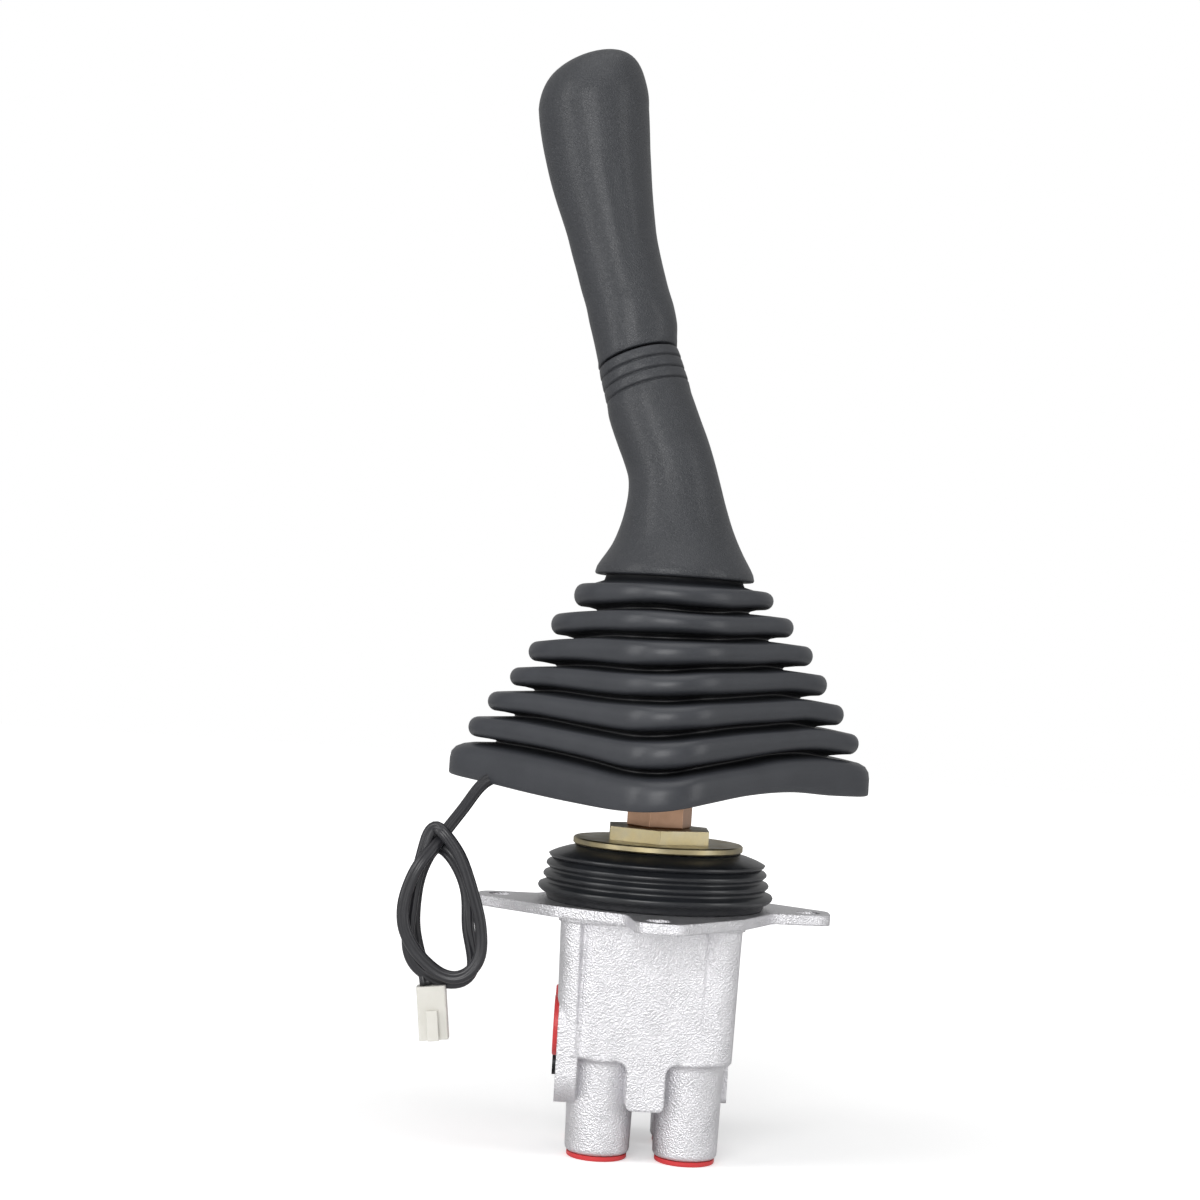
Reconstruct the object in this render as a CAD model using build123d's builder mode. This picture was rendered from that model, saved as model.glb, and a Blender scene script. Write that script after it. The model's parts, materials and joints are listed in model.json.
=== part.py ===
"""Hydraulic pilot joystick valve with its handle, bellows and two-core lead.

Millimetres.  +Z is up, +X is the operator's right and -Y faces the operator.
The origin is the centre of the bolt circle on the underside of the mounting
flange.  The lever tilts about two axes at 45 degrees to X and Y, so that each
of the four ports at the corners of the casing is metered by one pusher.
"""

import os
from math import cos, pi, radians, sin, sqrt, tan

from build123d import *

os.makedirs("parts", exist_ok=True)

# ---------------------------------------------------------------- fits and gaps
running_fit = 0.05          # radial, between a sliding piece and its guide
thread_fit = 0.05           # radial, between a screwed pair drawn without threads
soft_gap = 0.3              # between rubber and a surface that moves against it
pusher_gap = 0.3            # between the cam and the top of a pusher at rest
tube_gap = 1.0              # from the top of the stud to the foot of the lever tube
small_chamfer = 0.6         # on the edges of turned pieces
plug_fit = 0.15             # radial, between a plastic plug and its port

# ---------------------------------------------------------------- mounting flange
flange_thickness = 4.0
bolt_circle_radius = 59.0
bolt_hole_radius = 4.5
lobe_overhang = 8.3         # from a bolt hole's centre to the end of its lobe
lobe_half_width = 8.0
lobe_end_radius = 6.5
flange_shoulder = (32.0, 38.0)   # where a lobe's straight flank ends
flange_notch = (11.0, 45.0)      # the step beside the next lobe
lobe_count = 4
notch_radius = 5.0
shoulder_radius = 9.0

# ---------------------------------------------------------------- casing
body_half_width = 33.0
side_wall_extra = 2.2       # the left wall is thicker, for the side ports
body_depth = 52.0           # from the underside of the flange to the ledges
body_draft = 1.5            # degrees
body_corner_radius = 8.0
collar_depth = 1.6          # thicker band right under the flange
collar_proud = 0.7
cast_edge_radius = 1.6
# grooves that part a face from its columns: start, deepest line and end along the
# face, then depth; the wide one has a slow flank, the narrow one is a crease
face_grooves = ((-27.6, -26.2, -20.8, 2.6), (18.8, 19.8, 22.6, 1.1))

port_circle_radius = 23.3
port_count = 4
boss_radius_top = 12.8
boss_radius_bottom = 12.1
boss_bottom_depth = 88.0    # from the underside of the flange
boss_edge_radius = 2.2
boss_flare = 2.6            # fillet between a boss and the ledge over it
web_half_width = 7.1
web_depth = 69.6
web_edge_radius = 2.4
web_flare = 4.0             # fillet between a web and the ledge
flare_land = 0.2            # flat that is left beyond each of these fillets

port_bore_radius = 8.33     # G 3/8
port_bore_length = 13.0
spool_bore_radius = 4.5
spring_bore_radius = 9.0
spring_bore_depth = 52.0
guide_bore_radius = 10.0
guide_bore_depth = 16.0

pad_width = 62.0
pad_height = 41.0
pad_top_depth = 29.0
pad_reach = 33.7            # from the valve's axis to the machined face of the pad
pad_thickness = 8.0
pad_corner_radius = 12.0
side_port_spacing = 26.0
side_port_depth = 42.5      # of the port's centre, from the underside of the flange
side_port_length = 9.0
gallery_radius = 3.5
gallery_depth = 59.0
gallery_length = 7.0

# ---------------------------------------------------------------- cartridges
plate_thickness = 4.0
plate_radius = 33.5
guide_length = 12.0
guide_neck_radius = 7.5
guide_neck_proud = 2.0      # above the plate
plate_hole_clearance = 0.3
guide_ring_section = 1.0    # radius of the O-ring's section
seal_length = 3.0
seal_wall = 2.0
pusher_radius = 4.5
pusher_dome_radius = 7.0
pusher_foot_radius = 7.0
pusher_foot_thickness = 3.0
pusher_drop = 25.0          # from the plate's underside to the bottom of the foot
seat_thickness = 3.0
seat_radius = 7.8
seat_spigot_radius = 3.6
seat_spigot_length = 3.0
wire_square = 0.86          # side of the square that stands for a round wire, as a share
return_wire = 1.4
return_turns = 4.0
balance_wire = 0.9
balance_turns = 4.0
balance_coil_radius = 4.4
spool_radius = spool_bore_radius - running_fit
spool_stem_radius = 2.2
spool_head_radius = 3.4
spool_head_thickness = 1.6
spool_head_depth = 42.0     # of the head's top, from the underside of the flange
spool_land_length = 6.0
spool_land_gap = 5.0
shim_thickness = 0.8
shim_radius = 5.6

# ---------------------------------------------------------------- universal joint
yoke_flange_across = 24.0
yoke_flange_thickness = 3.0
yoke_shank_radius = 7.0
yoke_shank_length = 18.0
shank_end_gap = 2.0          # under the end of the shank in its bore
ear_inner = 6.0
ear_outer = 10.0
ear_radius = 4.5
trunnion_radius = 2.5
cross_half_width = 5.6
cross_half_height = 3.6
pivot_above_yoke = 7.8      # from the lower yoke's flange to the centre of the joint
upper_yoke_thickness = 2.5
upper_yoke_radius = 12.0
cam_above_pivot = 10.5
stud_radius = 7.0

# ---------------------------------------------------------------- cam and lever
cam_radius = 32.5
cam_thickness = 2.7
cam_edge = 0.5
cam_hex_across = 37.5
cam_hex_height = 5.2
lock_nut_across = 22.0
lock_nut_height = 11.0
nut_chamfer = 1.2
nut_turn = 12.0             # degrees; where tightening leaves the flats
socket_across = 22.0
socket_length = 26.0
socket_thread_length = 12.0
lever_free_length = 84.3    # from the top of the lock nut to the foot of the handle
tube_radius = 8.0
tube_wall = 2.2
tube_bend_radius = 70.0
tube_upper_length = 104.0

# ---------------------------------------------------------------- handle
lean_azimuth = 150.0        # degrees from +X; the handle bends left and away from the operator
lean_angle = 22.0           # degrees from upright
neck_height = 85.0          # from the handle's foot to the joint with the grip
joint_offset = 22.0         # of that joint from the lever's axis
skirt_radius = 30.4
neck_radius = 16.0
joint_gap = 0.8             # the dark line between the neck and the grip
joint_spigot_radius = 12.5
joint_spigot_length = 5.0
groove_count = 3
groove_pitch = 4.7
groove_width = 1.1
groove_depth = 0.9
collar_recess_depth = 5.0
grip_radius = 16.1
palm_radius = 22.0
palm_dome_radius = 16.0
button_height = 92.0        # above the joint between the neck and the grip

# ---------------------------------------------------------------- horn button
button_radius = 8.0
button_travel = 2.0
button_proud = 3.4
button_sink = 1.3           # of the bezel's seat in the side of the palm
button_edge_radius = 1.4
button_floor_gap = 1.0      # from the pressed button to the switch's top
bezel_radius = 11.0
bezel_lip = 1.5
bezel_depth = 5.0
bezel_edge_radius = 0.6
switch_radius = 6.5
switch_length = 9.0
switch_stem_radius = 1.5
switch_stem_length = 0.6
button_spring_wire = 0.6
button_spring_radius = 4.8
button_spring_turns = 3.0

# ---------------------------------------------------------------- outer bellows
roll_count = 6
roll_pitch = 10.6
roll_first_drop = 7.5       # from the handle's foot to the first roll's tip
roll_half_height = 3.6
roll_inset = 9.0            # of a valley, along the diagonal
roll_tip_round = 2.4
bellows_top_diagonal = 38.0
bellows_bottom_diagonal = 74.6
bellows_top_corner = 31.0
bellows_bottom_corner = 20.0
bellows_wall = 2.8
bellows_lip_diagonal = 81.0
bellows_lip_height = 12.0
bellows_lip_slope = 4.0      # by which the lip's top edge stands in
bellows_collar_radius = 26.5

# ---------------------------------------------------------------- inner bellows
boot_foot_radius = 41.0
boot_spigot_radius = 38.0
boot_spigot_height = 3.0
boot_spigot_wall = 3.0
boot_ridges = ((45.0, 4.7), (43.2, 9.1), (42.3, 13.1), (41.6, 17.0))   # radius, height
boot_ridge_round = 1.5
boot_valley_inset = 3.2
boot_wall = 1.8
boot_neck_radius = 31.8
boot_bead = 1.2             # height of the bead at its top

# ---------------------------------------------------------------- plugs
plug_flange_radius = 11.3
plug_flange_thickness = 1.8
plug_stem_length = 9.0
stem_end_gap = 1.0          # from the end of a stem to the end of its bore
plug_wall = 1.4
plug_edge_radius = 0.7
gallery_plug_head = 4.5
gallery_plug_thickness = 1.5
gallery_key_across = 5.0
gallery_key_depth = 3.0

# ---------------------------------------------------------------- lead and connector
cord_radius = 2.4
bend_share = 0.45           # of the shorter run beside a bend that the bend may take
cord_route = (
    (-16.0, -6.5, 138.5),
    (-16.0, -6.5, 117.5),
    (-25.0, -9.5, 97.0),
    (-36.5, -12.2, 77.0),
    (-46.0, -16.6, 58.5),
    (-57.0, -21.3, 42.3),
    (-67.8, -28.3, 34.5),
    (-77.5, -36.0, 27.3),
)
coil_centre = (-78.0, -36.0, 0.5)
coil_half_width = 15.6
coil_half_height = 26.8
coil_ring_width = 9.6
coil_thickness = 10.0
grommet_length = 9.0
grommet_radius = 4.6
grommet_seat = 5.0           # how far the grommet sits in the handle's foot
connector_width = 10.7
connector_depth = 7.4
connector_height = 19.6
connector_offset = -3.0     # of the connector's centre from the coil's
connector_tilt = 7.0        # degrees; its foot swings to the right
connector_wall = 1.3
connector_partition = 1.0   # between its two terminals
socket_depth = 11.0
latch_width = 4.0
latch_thickness = 1.4
latch_length = 11.0
latch_slot = 0.9            # under the latch's free end
terminal_radius = 1.0
terminal_setback = 2.0      # of its tip from the housing's mouth
connector_edge_radius = 0.8

# ---------------------------------------------------------------- derived levels
flange_top = flange_thickness
plate_bottom = flange_top - plate_thickness
yoke_flange_top = flange_top + yoke_flange_thickness
pivot_z = yoke_flange_top + pivot_above_yoke
cam_underside = pivot_z + cam_above_pivot
cam_top = cam_underside + cam_thickness
cam_hex_top = cam_top + cam_hex_height
lock_nut_top = cam_hex_top + lock_nut_height
handle_base = lock_nut_top + lever_free_length
stud_top = lock_nut_top + socket_thread_length
pusher_top = cam_underside - pusher_gap
guide_bottom = plate_bottom - guide_length
guide_top = flange_top + guide_neck_proud
pusher_foot_bottom = plate_bottom - pusher_drop
seat_bottom = pusher_foot_bottom - seat_thickness
lever_direction = (cos(radians(lean_azimuth)), sin(radians(lean_azimuth)))
tube_bend_height = neck_height - joint_offset / tan(radians(lean_angle))
port_places = PolarLocations(port_circle_radius, port_count, start_angle=45).locations
port_centres = [place.position for place in port_places]


def handle_point(offset, height):
    """Point in the plane in which the handle bends, measured from its foot."""
    return (
        offset * lever_direction[0],
        offset * lever_direction[1],
        handle_base + height,
    )


def handle_plane(offset, height, tilt):
    """Cross-section plane of the handle, square to a centreline leaning by tilt."""
    normal = (
        sin(radians(tilt)) * lever_direction[0],
        sin(radians(tilt)) * lever_direction[1],
        cos(radians(tilt)),
    )
    across = (-lever_direction[1], lever_direction[0], 0)
    return Plane(origin=handle_point(offset, height), x_dir=across, z_dir=normal)


def bellows_half_side(diagonal, corner):
    """Half the side of a rounded square from half its diagonal and corner radius."""
    return (diagonal - corner) / sqrt(2) + corner


# ================================================================ casing
# One quarter of the flange's outline runs from the notch, round the lobe on -Y,
# to the shoulder; the other three are the same quarter turned.
lobe_end = bolt_circle_radius + lobe_overhang
quarter_corners = (
    (-flange_notch[0], -flange_notch[1]),
    (-lobe_half_width, -lobe_end),
    (lobe_half_width, -lobe_end),
    (flange_shoulder[0], -flange_shoulder[1]),
)
quarter_radii = (notch_radius, lobe_end_radius, lobe_end_radius, shoulder_radius)
flange_corners = []
for quarter in range(lobe_count):
    for corner in quarter_corners:
        flange_corners.append(Vector(*corner).rotate(Axis.Z, quarter * 360 / lobe_count))

# Soft grooves on the right, front and back faces, clear of the pad's face.
groove_outlines = []
for turn in (0, 90, 180):
    for start, deepest, end, depth in face_grooves:
        outline = (
            (start, -body_half_width - collar_proud),
            (start, -body_half_width),
            (deepest, -body_half_width + depth),
            (end, -body_half_width),
            (end, -body_half_width - collar_proud),
        )
        groove_outlines.append([Vector(*point).rotate(Axis.Z, turn) for point in outline])

# Web seen along its length, from its foot up to where it flares into the ledge.
web_foot = -web_depth
web_top = cast_edge_radius - body_depth
flare_half = web_half_width + web_flare + flare_land
web_outline = (
    (-flare_half, web_top),
    (-flare_half, -body_depth),
    (-web_half_width, -body_depth),
    (-web_half_width, web_foot),
    (web_half_width, web_foot),
    (web_half_width, -body_depth),
    (flare_half, -body_depth),
    (flare_half, web_top),
)
web_radii = (0, 0, web_flare, web_edge_radius, web_edge_radius, web_flare, 0, 0)
web_reach = body_half_width - body_depth * tan(radians(body_draft))

# Half of a boss's outline, turned about its own axis.
boss_reach = boss_radius_top + boss_flare + flare_land
boss_outline = (
    (0, -boss_bottom_depth),
    (boss_radius_bottom, -boss_bottom_depth),
    (boss_radius_top, -body_depth),
    (boss_reach, -body_depth),
    (boss_reach, web_top),
    (0, web_top),
)
boss_radii = (0, boss_edge_radius, boss_flare, 0, 0, 0)

with BuildPart() as casing:
    with BuildSketch(Plane.XY.offset(-body_depth)):
        with Locations((-side_wall_extra / 2, 0)):
            RectangleRounded(2 * web_reach + side_wall_extra, 2 * web_reach, body_corner_radius)
    with BuildSketch(Plane.XY):
        with Locations((-side_wall_extra / 2, 0)):
            RectangleRounded(
                2 * body_half_width + side_wall_extra,
                2 * body_half_width,
                body_corner_radius,
            )
    loft()
    with BuildSketch(Plane.XY):
        for outline in groove_outlines:
            with BuildLine():
                Polyline(*outline, close=True)
            make_face()
    extrude(amount=-body_depth, mode=Mode.SUBTRACT)
    fillet(casing.faces().sort_by(Axis.Z)[0].outer_wire().edges(), radius=cast_edge_radius)
    # thicker band under the flange
    with BuildSketch(Plane.XY.offset(-collar_depth)):
        with Locations((-side_wall_extra / 2, 0)):
            RectangleRounded(
                2 * (body_half_width + collar_proud) + side_wall_extra,
                2 * (body_half_width + collar_proud),
                body_corner_radius,
            )
    extrude(amount=collar_depth)
    # webs that join the four bosses, flush with the faces
    for turn in (0, 90):
        with BuildSketch(Plane.XZ.rotated((0, 0, turn))):
            with BuildLine():
                FilletPolyline(*web_outline, radius=web_radii, close=True)
            make_face()
        extrude(amount=web_reach, both=True)
    # port bosses
    for centre in port_centres:
        with BuildSketch(Plane(origin=(centre.X, centre.Y, 0), x_dir=(1, 0, 0), z_dir=(0, -1, 0))):
            with BuildLine():
                FilletPolyline(*boss_outline, radius=boss_radii, close=True)
            make_face()
        revolve(axis=Axis((centre.X, centre.Y, 0), (0, 0, 1)))
    # port pad on the left face, faced off square to X
    pad_face = -pad_reach
    pad_middle = -pad_top_depth - pad_height / 2
    with BuildSketch(Plane(origin=(pad_face, 0, pad_middle), x_dir=(0, 1, 0), z_dir=(-1, 0, 0))):
        RectangleRounded(pad_width, pad_height, pad_corner_radius)
    extrude(amount=side_wall_extra, mode=Mode.SUBTRACT)
    with BuildSketch(Plane(origin=(pad_face, 0, pad_middle), x_dir=(0, 1, 0), z_dir=(-1, 0, 0))):
        RectangleRounded(pad_width, pad_height, pad_corner_radius)
    extrude(amount=-pad_thickness)
    # mounting flange
    with BuildSketch():
        with BuildLine():
            FilletPolyline(*flange_corners, radius=quarter_radii * lobe_count, close=True)
        make_face()
    extrude(amount=flange_thickness)
    with PolarLocations(bolt_circle_radius, lobe_count):
        with Locations((0, 0, flange_top)):
            Hole(bolt_hole_radius, depth=flange_thickness)
    # raised ring that the inner bellows grips
    with BuildSketch(Plane.XY.offset(flange_top)):
        Circle(boot_spigot_radius)
        Circle(boot_spigot_radius - boot_spigot_wall, mode=Mode.SUBTRACT)
    extrude(amount=boot_spigot_height)
    # recess for the retainer plate, then the stepped bore of each cartridge
    with Locations((0, 0, flange_top)):
        Hole(plate_radius + running_fit, depth=plate_thickness)
    with Locations(*port_places):
        with Locations((0, 0, plate_bottom)):
            Hole(guide_bore_radius, depth=guide_bore_depth)
            Hole(spring_bore_radius, depth=spring_bore_depth)
            Hole(spool_bore_radius, depth=boss_bottom_depth + plate_bottom)
        with Locations((0, 0, -boss_bottom_depth + port_bore_length)):
            Hole(port_bore_radius, depth=port_bore_length)
    with Locations((0, 0, plate_bottom)):
        Hole(yoke_shank_radius + thread_fit, depth=yoke_shank_length + shank_end_gap)
    # supply and return ports, and the blanked gallery between them
    pad_plane = Plane(origin=(pad_face, 0, 0), x_dir=(0, 1, 0), z_dir=(-1, 0, 0))
    with BuildSketch(pad_plane):
        with Locations((-side_port_spacing / 2, side_port_depth), (side_port_spacing / 2, side_port_depth)):
            Circle(port_bore_radius)
    extrude(amount=-side_port_length, mode=Mode.SUBTRACT)
    with BuildSketch(pad_plane):
        with Locations((0, gallery_depth)):
            Circle(gallery_radius)
    extrude(amount=-gallery_length, mode=Mode.SUBTRACT)
casing.part.label = "casing"
export_step(casing.part, "parts/casing.step")

# ================================================================ retainer plate
with BuildPart() as retainer_plate:
    with BuildSketch(Plane.XY.offset(plate_bottom)):
        Circle(plate_radius)
        Circle(yoke_shank_radius + thread_fit, mode=Mode.SUBTRACT)
        with Locations(*port_places):
            Circle(guide_neck_radius + plate_hole_clearance, mode=Mode.SUBTRACT)
    extrude(amount=plate_thickness)
    chamfer(retainer_plate.faces().sort_by(Axis.Z)[-1].outer_wire().edges(), length=small_chamfer)
retainer_plate.part.label = "retainer_plate"
export_step(retainer_plate.part, "parts/retainer_plate.step")

# ================================================================ cartridges
# Guide with a shoulder under the plate and a neck through it.
guide_radius = guide_bore_radius - running_fit
ring_height = guide_bottom + guide_length / 3
seal_radius = pusher_radius + running_fit + seal_wall
with BuildPart() as pusher_guides:
    with Locations(*port_places):
        with Locations((0, 0, guide_bottom)):
            Cylinder(guide_radius, guide_length, align=(Align.CENTER, Align.CENTER, Align.MIN))
        with Locations((0, 0, plate_bottom)):
            Cylinder(
                guide_neck_radius,
                guide_top - plate_bottom,
                align=(Align.CENTER, Align.CENTER, Align.MIN),
            )
        with Locations((0, 0, guide_top)):
            Hole(pusher_radius + running_fit, depth=guide_top - guide_bottom)
            Hole(seal_radius + running_fit, depth=seal_length)
        with Locations((0, 0, ring_height)):
            Torus(
                guide_radius - guide_ring_section,
                guide_ring_section + running_fit,
                mode=Mode.SUBTRACT,
            )
pusher_guides.part.label = "pusher_guides"
export_step(pusher_guides.part, "parts/pusher_guides.step")

with BuildPart() as guide_o_rings:
    with Locations(*port_places):
        with Locations((0, 0, ring_height)):
            Torus(guide_radius - guide_ring_section, guide_ring_section)
guide_o_rings.part.label = "guide_o_rings"
export_step(guide_o_rings.part, "parts/guide_o_rings.step")

with BuildPart() as pusher_seals:
    with Locations(*port_places):
        with Locations((0, 0, guide_top)):
            Cylinder(seal_radius, seal_length, align=(Align.CENTER, Align.CENTER, Align.MAX))
            Hole(pusher_radius + running_fit, depth=seal_length)
pusher_seals.part.label = "pusher_seals"
export_step(pusher_seals.part, "parts/pusher_seals.step")

spring_floor = plate_bottom - spring_bore_depth
spool_top = -spool_head_depth
for number, centre in enumerate(port_centres, start=1):
    place = Plane(origin=(centre.X, centre.Y, 0))

    # pusher: dome, stem and foot turned in one piece
    dome_drop = pusher_dome_radius - sqrt(pusher_dome_radius**2 - pusher_radius**2)
    with BuildPart() as pusher:
        with BuildSketch(Plane(origin=place.origin, x_dir=(1, 0, 0), z_dir=(0, -1, 0))):
            with BuildLine():
                Line((0, pusher_foot_bottom), (pusher_foot_radius, pusher_foot_bottom))
                Line(
                    (pusher_foot_radius, pusher_foot_bottom),
                    (pusher_foot_radius, pusher_foot_bottom + pusher_foot_thickness),
                )
                Line(
                    (pusher_foot_radius, pusher_foot_bottom + pusher_foot_thickness),
                    (pusher_radius, pusher_foot_bottom + pusher_foot_thickness),
                )
                Line(
                    (pusher_radius, pusher_foot_bottom + pusher_foot_thickness),
                    (pusher_radius, pusher_top - dome_drop),
                )
                RadiusArc(
                    (pusher_radius, pusher_top - dome_drop),
                    (0, pusher_top),
                    -pusher_dome_radius,
                )
                Line((0, pusher_top), (0, pusher_foot_bottom))
            make_face()
        revolve(axis=Axis(place.origin, (0, 0, 1)))
    pusher.part.label = f"pusher_{number}"
    export_step(pusher.part, f"parts/pusher_{number}.step")

    # spring seat with a spigot that centres the balance spring
    with BuildPart(place) as spring_seat:
        with Locations((0, 0, pusher_foot_bottom)):
            Cylinder(seat_radius, seat_thickness, align=(Align.CENTER, Align.CENTER, Align.MAX))
        with Locations((0, 0, seat_bottom)):
            Cylinder(
                seat_spigot_radius,
                seat_spigot_length,
                align=(Align.CENTER, Align.CENTER, Align.MAX),
            )
        chamfer(spring_seat.edges().group_by(Axis.Z)[0], length=small_chamfer)
    spring_seat.part.label = f"spring_seat_{number}"
    export_step(spring_seat.part, f"parts/spring_seat_{number}.step")

    # return spring, from the floor of its bore to the seat
    return_coil_radius = spring_bore_radius - return_wire
    return_height = seat_bottom - spring_floor - return_wire
    with BuildPart() as return_spring:
        with BuildLine() as return_coil:
            Helix(
                pitch=return_height / return_turns,
                height=return_height,
                radius=return_coil_radius,
                center=(centre.X, centre.Y, spring_floor + return_wire / 2),
            )
        with BuildSketch(Plane(origin=return_coil.line @ 0, z_dir=return_coil.line % 0)):
            Rectangle(return_wire * wire_square, return_wire * wire_square)
        sweep(is_frenet=True)
    return_spring.part.label = f"return_spring_{number}"
    export_step(return_spring.part, f"parts/return_spring_{number}.step")

    # balance spring, from the shim to the seat
    shim_top = spool_top - spool_head_thickness
    balance_height = seat_bottom - spool_top - balance_wire
    with BuildPart() as balance_spring:
        with BuildLine() as balance_coil:
            Helix(
                pitch=balance_height / balance_turns,
                height=balance_height,
                radius=balance_coil_radius,
                center=(centre.X, centre.Y, spool_top + balance_wire / 2),
            )
        with BuildSketch(Plane(origin=balance_coil.line @ 0, z_dir=balance_coil.line % 0)):
            Rectangle(balance_wire * wire_square, balance_wire * wire_square)
        sweep(is_frenet=True)
    balance_spring.part.label = f"balance_spring_{number}"
    export_step(balance_spring.part, f"parts/balance_spring_{number}.step")

    # shim under the balance spring
    with BuildPart(place) as shim:
        with Locations((0, 0, spool_top)):
            Cylinder(shim_radius, shim_thickness, align=(Align.CENTER, Align.CENTER, Align.MAX))
            Hole(spool_stem_radius + running_fit, depth=shim_thickness)
    shim.part.label = f"shim_{number}"
    export_step(shim.part, f"parts/shim_{number}.step")

    # metering spool: head, stem and two lands
    spool_foot = spring_floor - 2 * spool_land_length - spool_land_gap - spool_land_gap
    with BuildPart(place) as spool:
        with Locations((0, 0, spool_top + spool_head_thickness)):
            Cylinder(
                spool_head_radius,
                spool_head_thickness,
                align=(Align.CENTER, Align.CENTER, Align.MAX),
            )
        with Locations((0, 0, spool_foot)):
            Cylinder(
                spool_stem_radius,
                spool_top - spool_foot,
                align=(Align.CENTER, Align.CENTER, Align.MIN),
            )
            Cylinder(
                spool_radius,
                spool_land_length,
                align=(Align.CENTER, Align.CENTER, Align.MIN),
            )
        with Locations((0, 0, spool_foot + spool_land_length + spool_land_gap)):
            Cylinder(
                spool_radius,
                spool_land_length,
                align=(Align.CENTER, Align.CENTER, Align.MIN),
            )
    spool.part.label = f"spool_{number}"
    export_step(spool.part, f"parts/spool_{number}.step")

# ================================================================ universal joint
hinge_one = Plane(origin=(0, 0, pivot_z), x_dir=(1, 1, 0), z_dir=(0, 0, 1))
ear_thickness = ear_outer - ear_inner
ear_middle = (ear_inner + ear_outer) / 2
trunnion_hole = trunnion_radius + running_fit

# Lower yoke: shank screwed into the casing, hexagon that clamps the plate, two ears.
with BuildPart(hinge_one) as lower_yoke:
    with BuildSketch(hinge_one.offset(-pivot_above_yoke)):
        RegularPolygon(yoke_flange_across / 2, 6, major_radius=False)
    extrude(amount=-yoke_flange_thickness)
    chamfer(lower_yoke.edges().group_by(Axis.Z)[-1], length=small_chamfer)
    with Locations((0, 0, -pivot_above_yoke)):
        Cylinder(
            yoke_shank_radius,
            yoke_flange_thickness + yoke_shank_length,
            align=(Align.CENTER, Align.CENTER, Align.MAX),
        )
    with Locations((ear_middle, 0, 0), (-ear_middle, 0, 0)):
        Box(
            ear_thickness,
            2 * ear_radius,
            pivot_above_yoke,
            align=(Align.CENTER, Align.CENTER, Align.MAX),
        )
        Cylinder(ear_radius, ear_thickness, rotation=(0, 90, 0))
        Cylinder(trunnion_hole, ear_thickness, rotation=(0, 90, 0), mode=Mode.SUBTRACT)
lower_yoke.part.label = "lower_yoke"
export_step(lower_yoke.part, "parts/lower_yoke.step")

# Cross: a block with four trunnions.
with BuildPart(hinge_one) as joint_cross:
    Box(2 * cross_half_width, 2 * cross_half_width, 2 * cross_half_height)
    chamfer(joint_cross.edges(), length=small_chamfer)
    Cylinder(trunnion_radius, 2 * ear_outer, rotation=(0, 90, 0))
    Cylinder(trunnion_radius, 2 * ear_outer, rotation=(90, 0, 0))
joint_cross.part.label = "joint_cross"
export_step(joint_cross.part, "parts/joint_cross.step")

# Upper yoke: the other two ears hang from a flange with the lever's stud on top.
with BuildPart(hinge_one) as upper_yoke:
    with Locations((0, 0, cam_above_pivot)):
        Cylinder(
            upper_yoke_radius,
            upper_yoke_thickness,
            align=(Align.CENTER, Align.CENTER, Align.MAX),
        )
        Cylinder(
            stud_radius,
            stud_top - cam_underside,
            align=(Align.CENTER, Align.CENTER, Align.MIN),
        )
    chamfer(upper_yoke.edges().group_by(Axis.Z)[-1], length=small_chamfer)
    with Locations((0, ear_middle, 0), (0, -ear_middle, 0)):
        Box(
            2 * ear_radius,
            ear_thickness,
            cam_above_pivot - upper_yoke_thickness,
            align=(Align.CENTER, Align.CENTER, Align.MIN),
        )
        Cylinder(ear_radius, ear_thickness, rotation=(90, 0, 0))
        Cylinder(trunnion_hole, ear_thickness, rotation=(90, 0, 0), mode=Mode.SUBTRACT)
upper_yoke.part.label = "upper_yoke"
export_step(upper_yoke.part, "parts/upper_yoke.step")

# ================================================================ cam and lever
with BuildPart() as cam:
    with BuildSketch(Plane.XY.offset(cam_underside)):
        Circle(cam_radius)
    extrude(amount=cam_thickness)
    chamfer(cam.edges(), length=cam_edge)
    # one corner of the hexagon faces the operator
    with BuildSketch(Plane.XY.offset(cam_top)) as cam_hexagon:
        RegularPolygon(cam_hex_across / 2, 6, major_radius=False, rotation=30)
    extrude(amount=cam_hex_height)
    with Locations((0, 0, cam_hex_top)):
        Hole(stud_radius + thread_fit, depth=cam_hex_height + cam_thickness)
cam.part.label = "cam"
export_step(cam.part, "parts/cam.step")


# Lock nut
with BuildPart() as lock_nut:
    with BuildSketch(Plane.XY.offset(cam_hex_top)):
        RegularPolygon(lock_nut_across / 2, 6, major_radius=False, rotation=nut_turn)
    extrude(amount=lock_nut_height)
    chamfer(lock_nut.edges().group_by(Axis.Z)[0], length=nut_chamfer / 2)
    chamfer(lock_nut.edges().group_by(Axis.Z)[-1], length=nut_chamfer)
    with Locations((0, 0, lock_nut_top)):
        Hole(stud_radius + thread_fit, depth=lock_nut_height)
lock_nut.part.label = "lock_nut"
export_step(lock_nut.part, "parts/lock_nut.step")

# Socket: a hexagonal bush screwed on the stud, with the lever tube welded into its top.
socket_top = lock_nut_top + socket_length
tube_foot = stud_top + tube_gap
with BuildPart() as lever_socket:
    with BuildSketch(Plane.XY.offset(lock_nut_top)):
        RegularPolygon(socket_across / 2, 6, major_radius=False, rotation=nut_turn)
    extrude(amount=socket_length)
    with Locations((0, 0, socket_top)):
        Hole(stud_radius + thread_fit, depth=socket_length)
        Hole(tube_radius + thread_fit, depth=socket_top - tube_foot)
    chamfer(lever_socket.faces().sort_by(Axis.Z)[-1].outer_wire().edges(), length=small_chamfer)
lever_socket.part.label = "lever_socket"
export_step(lever_socket.part, "parts/lever_socket.step")

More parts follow.
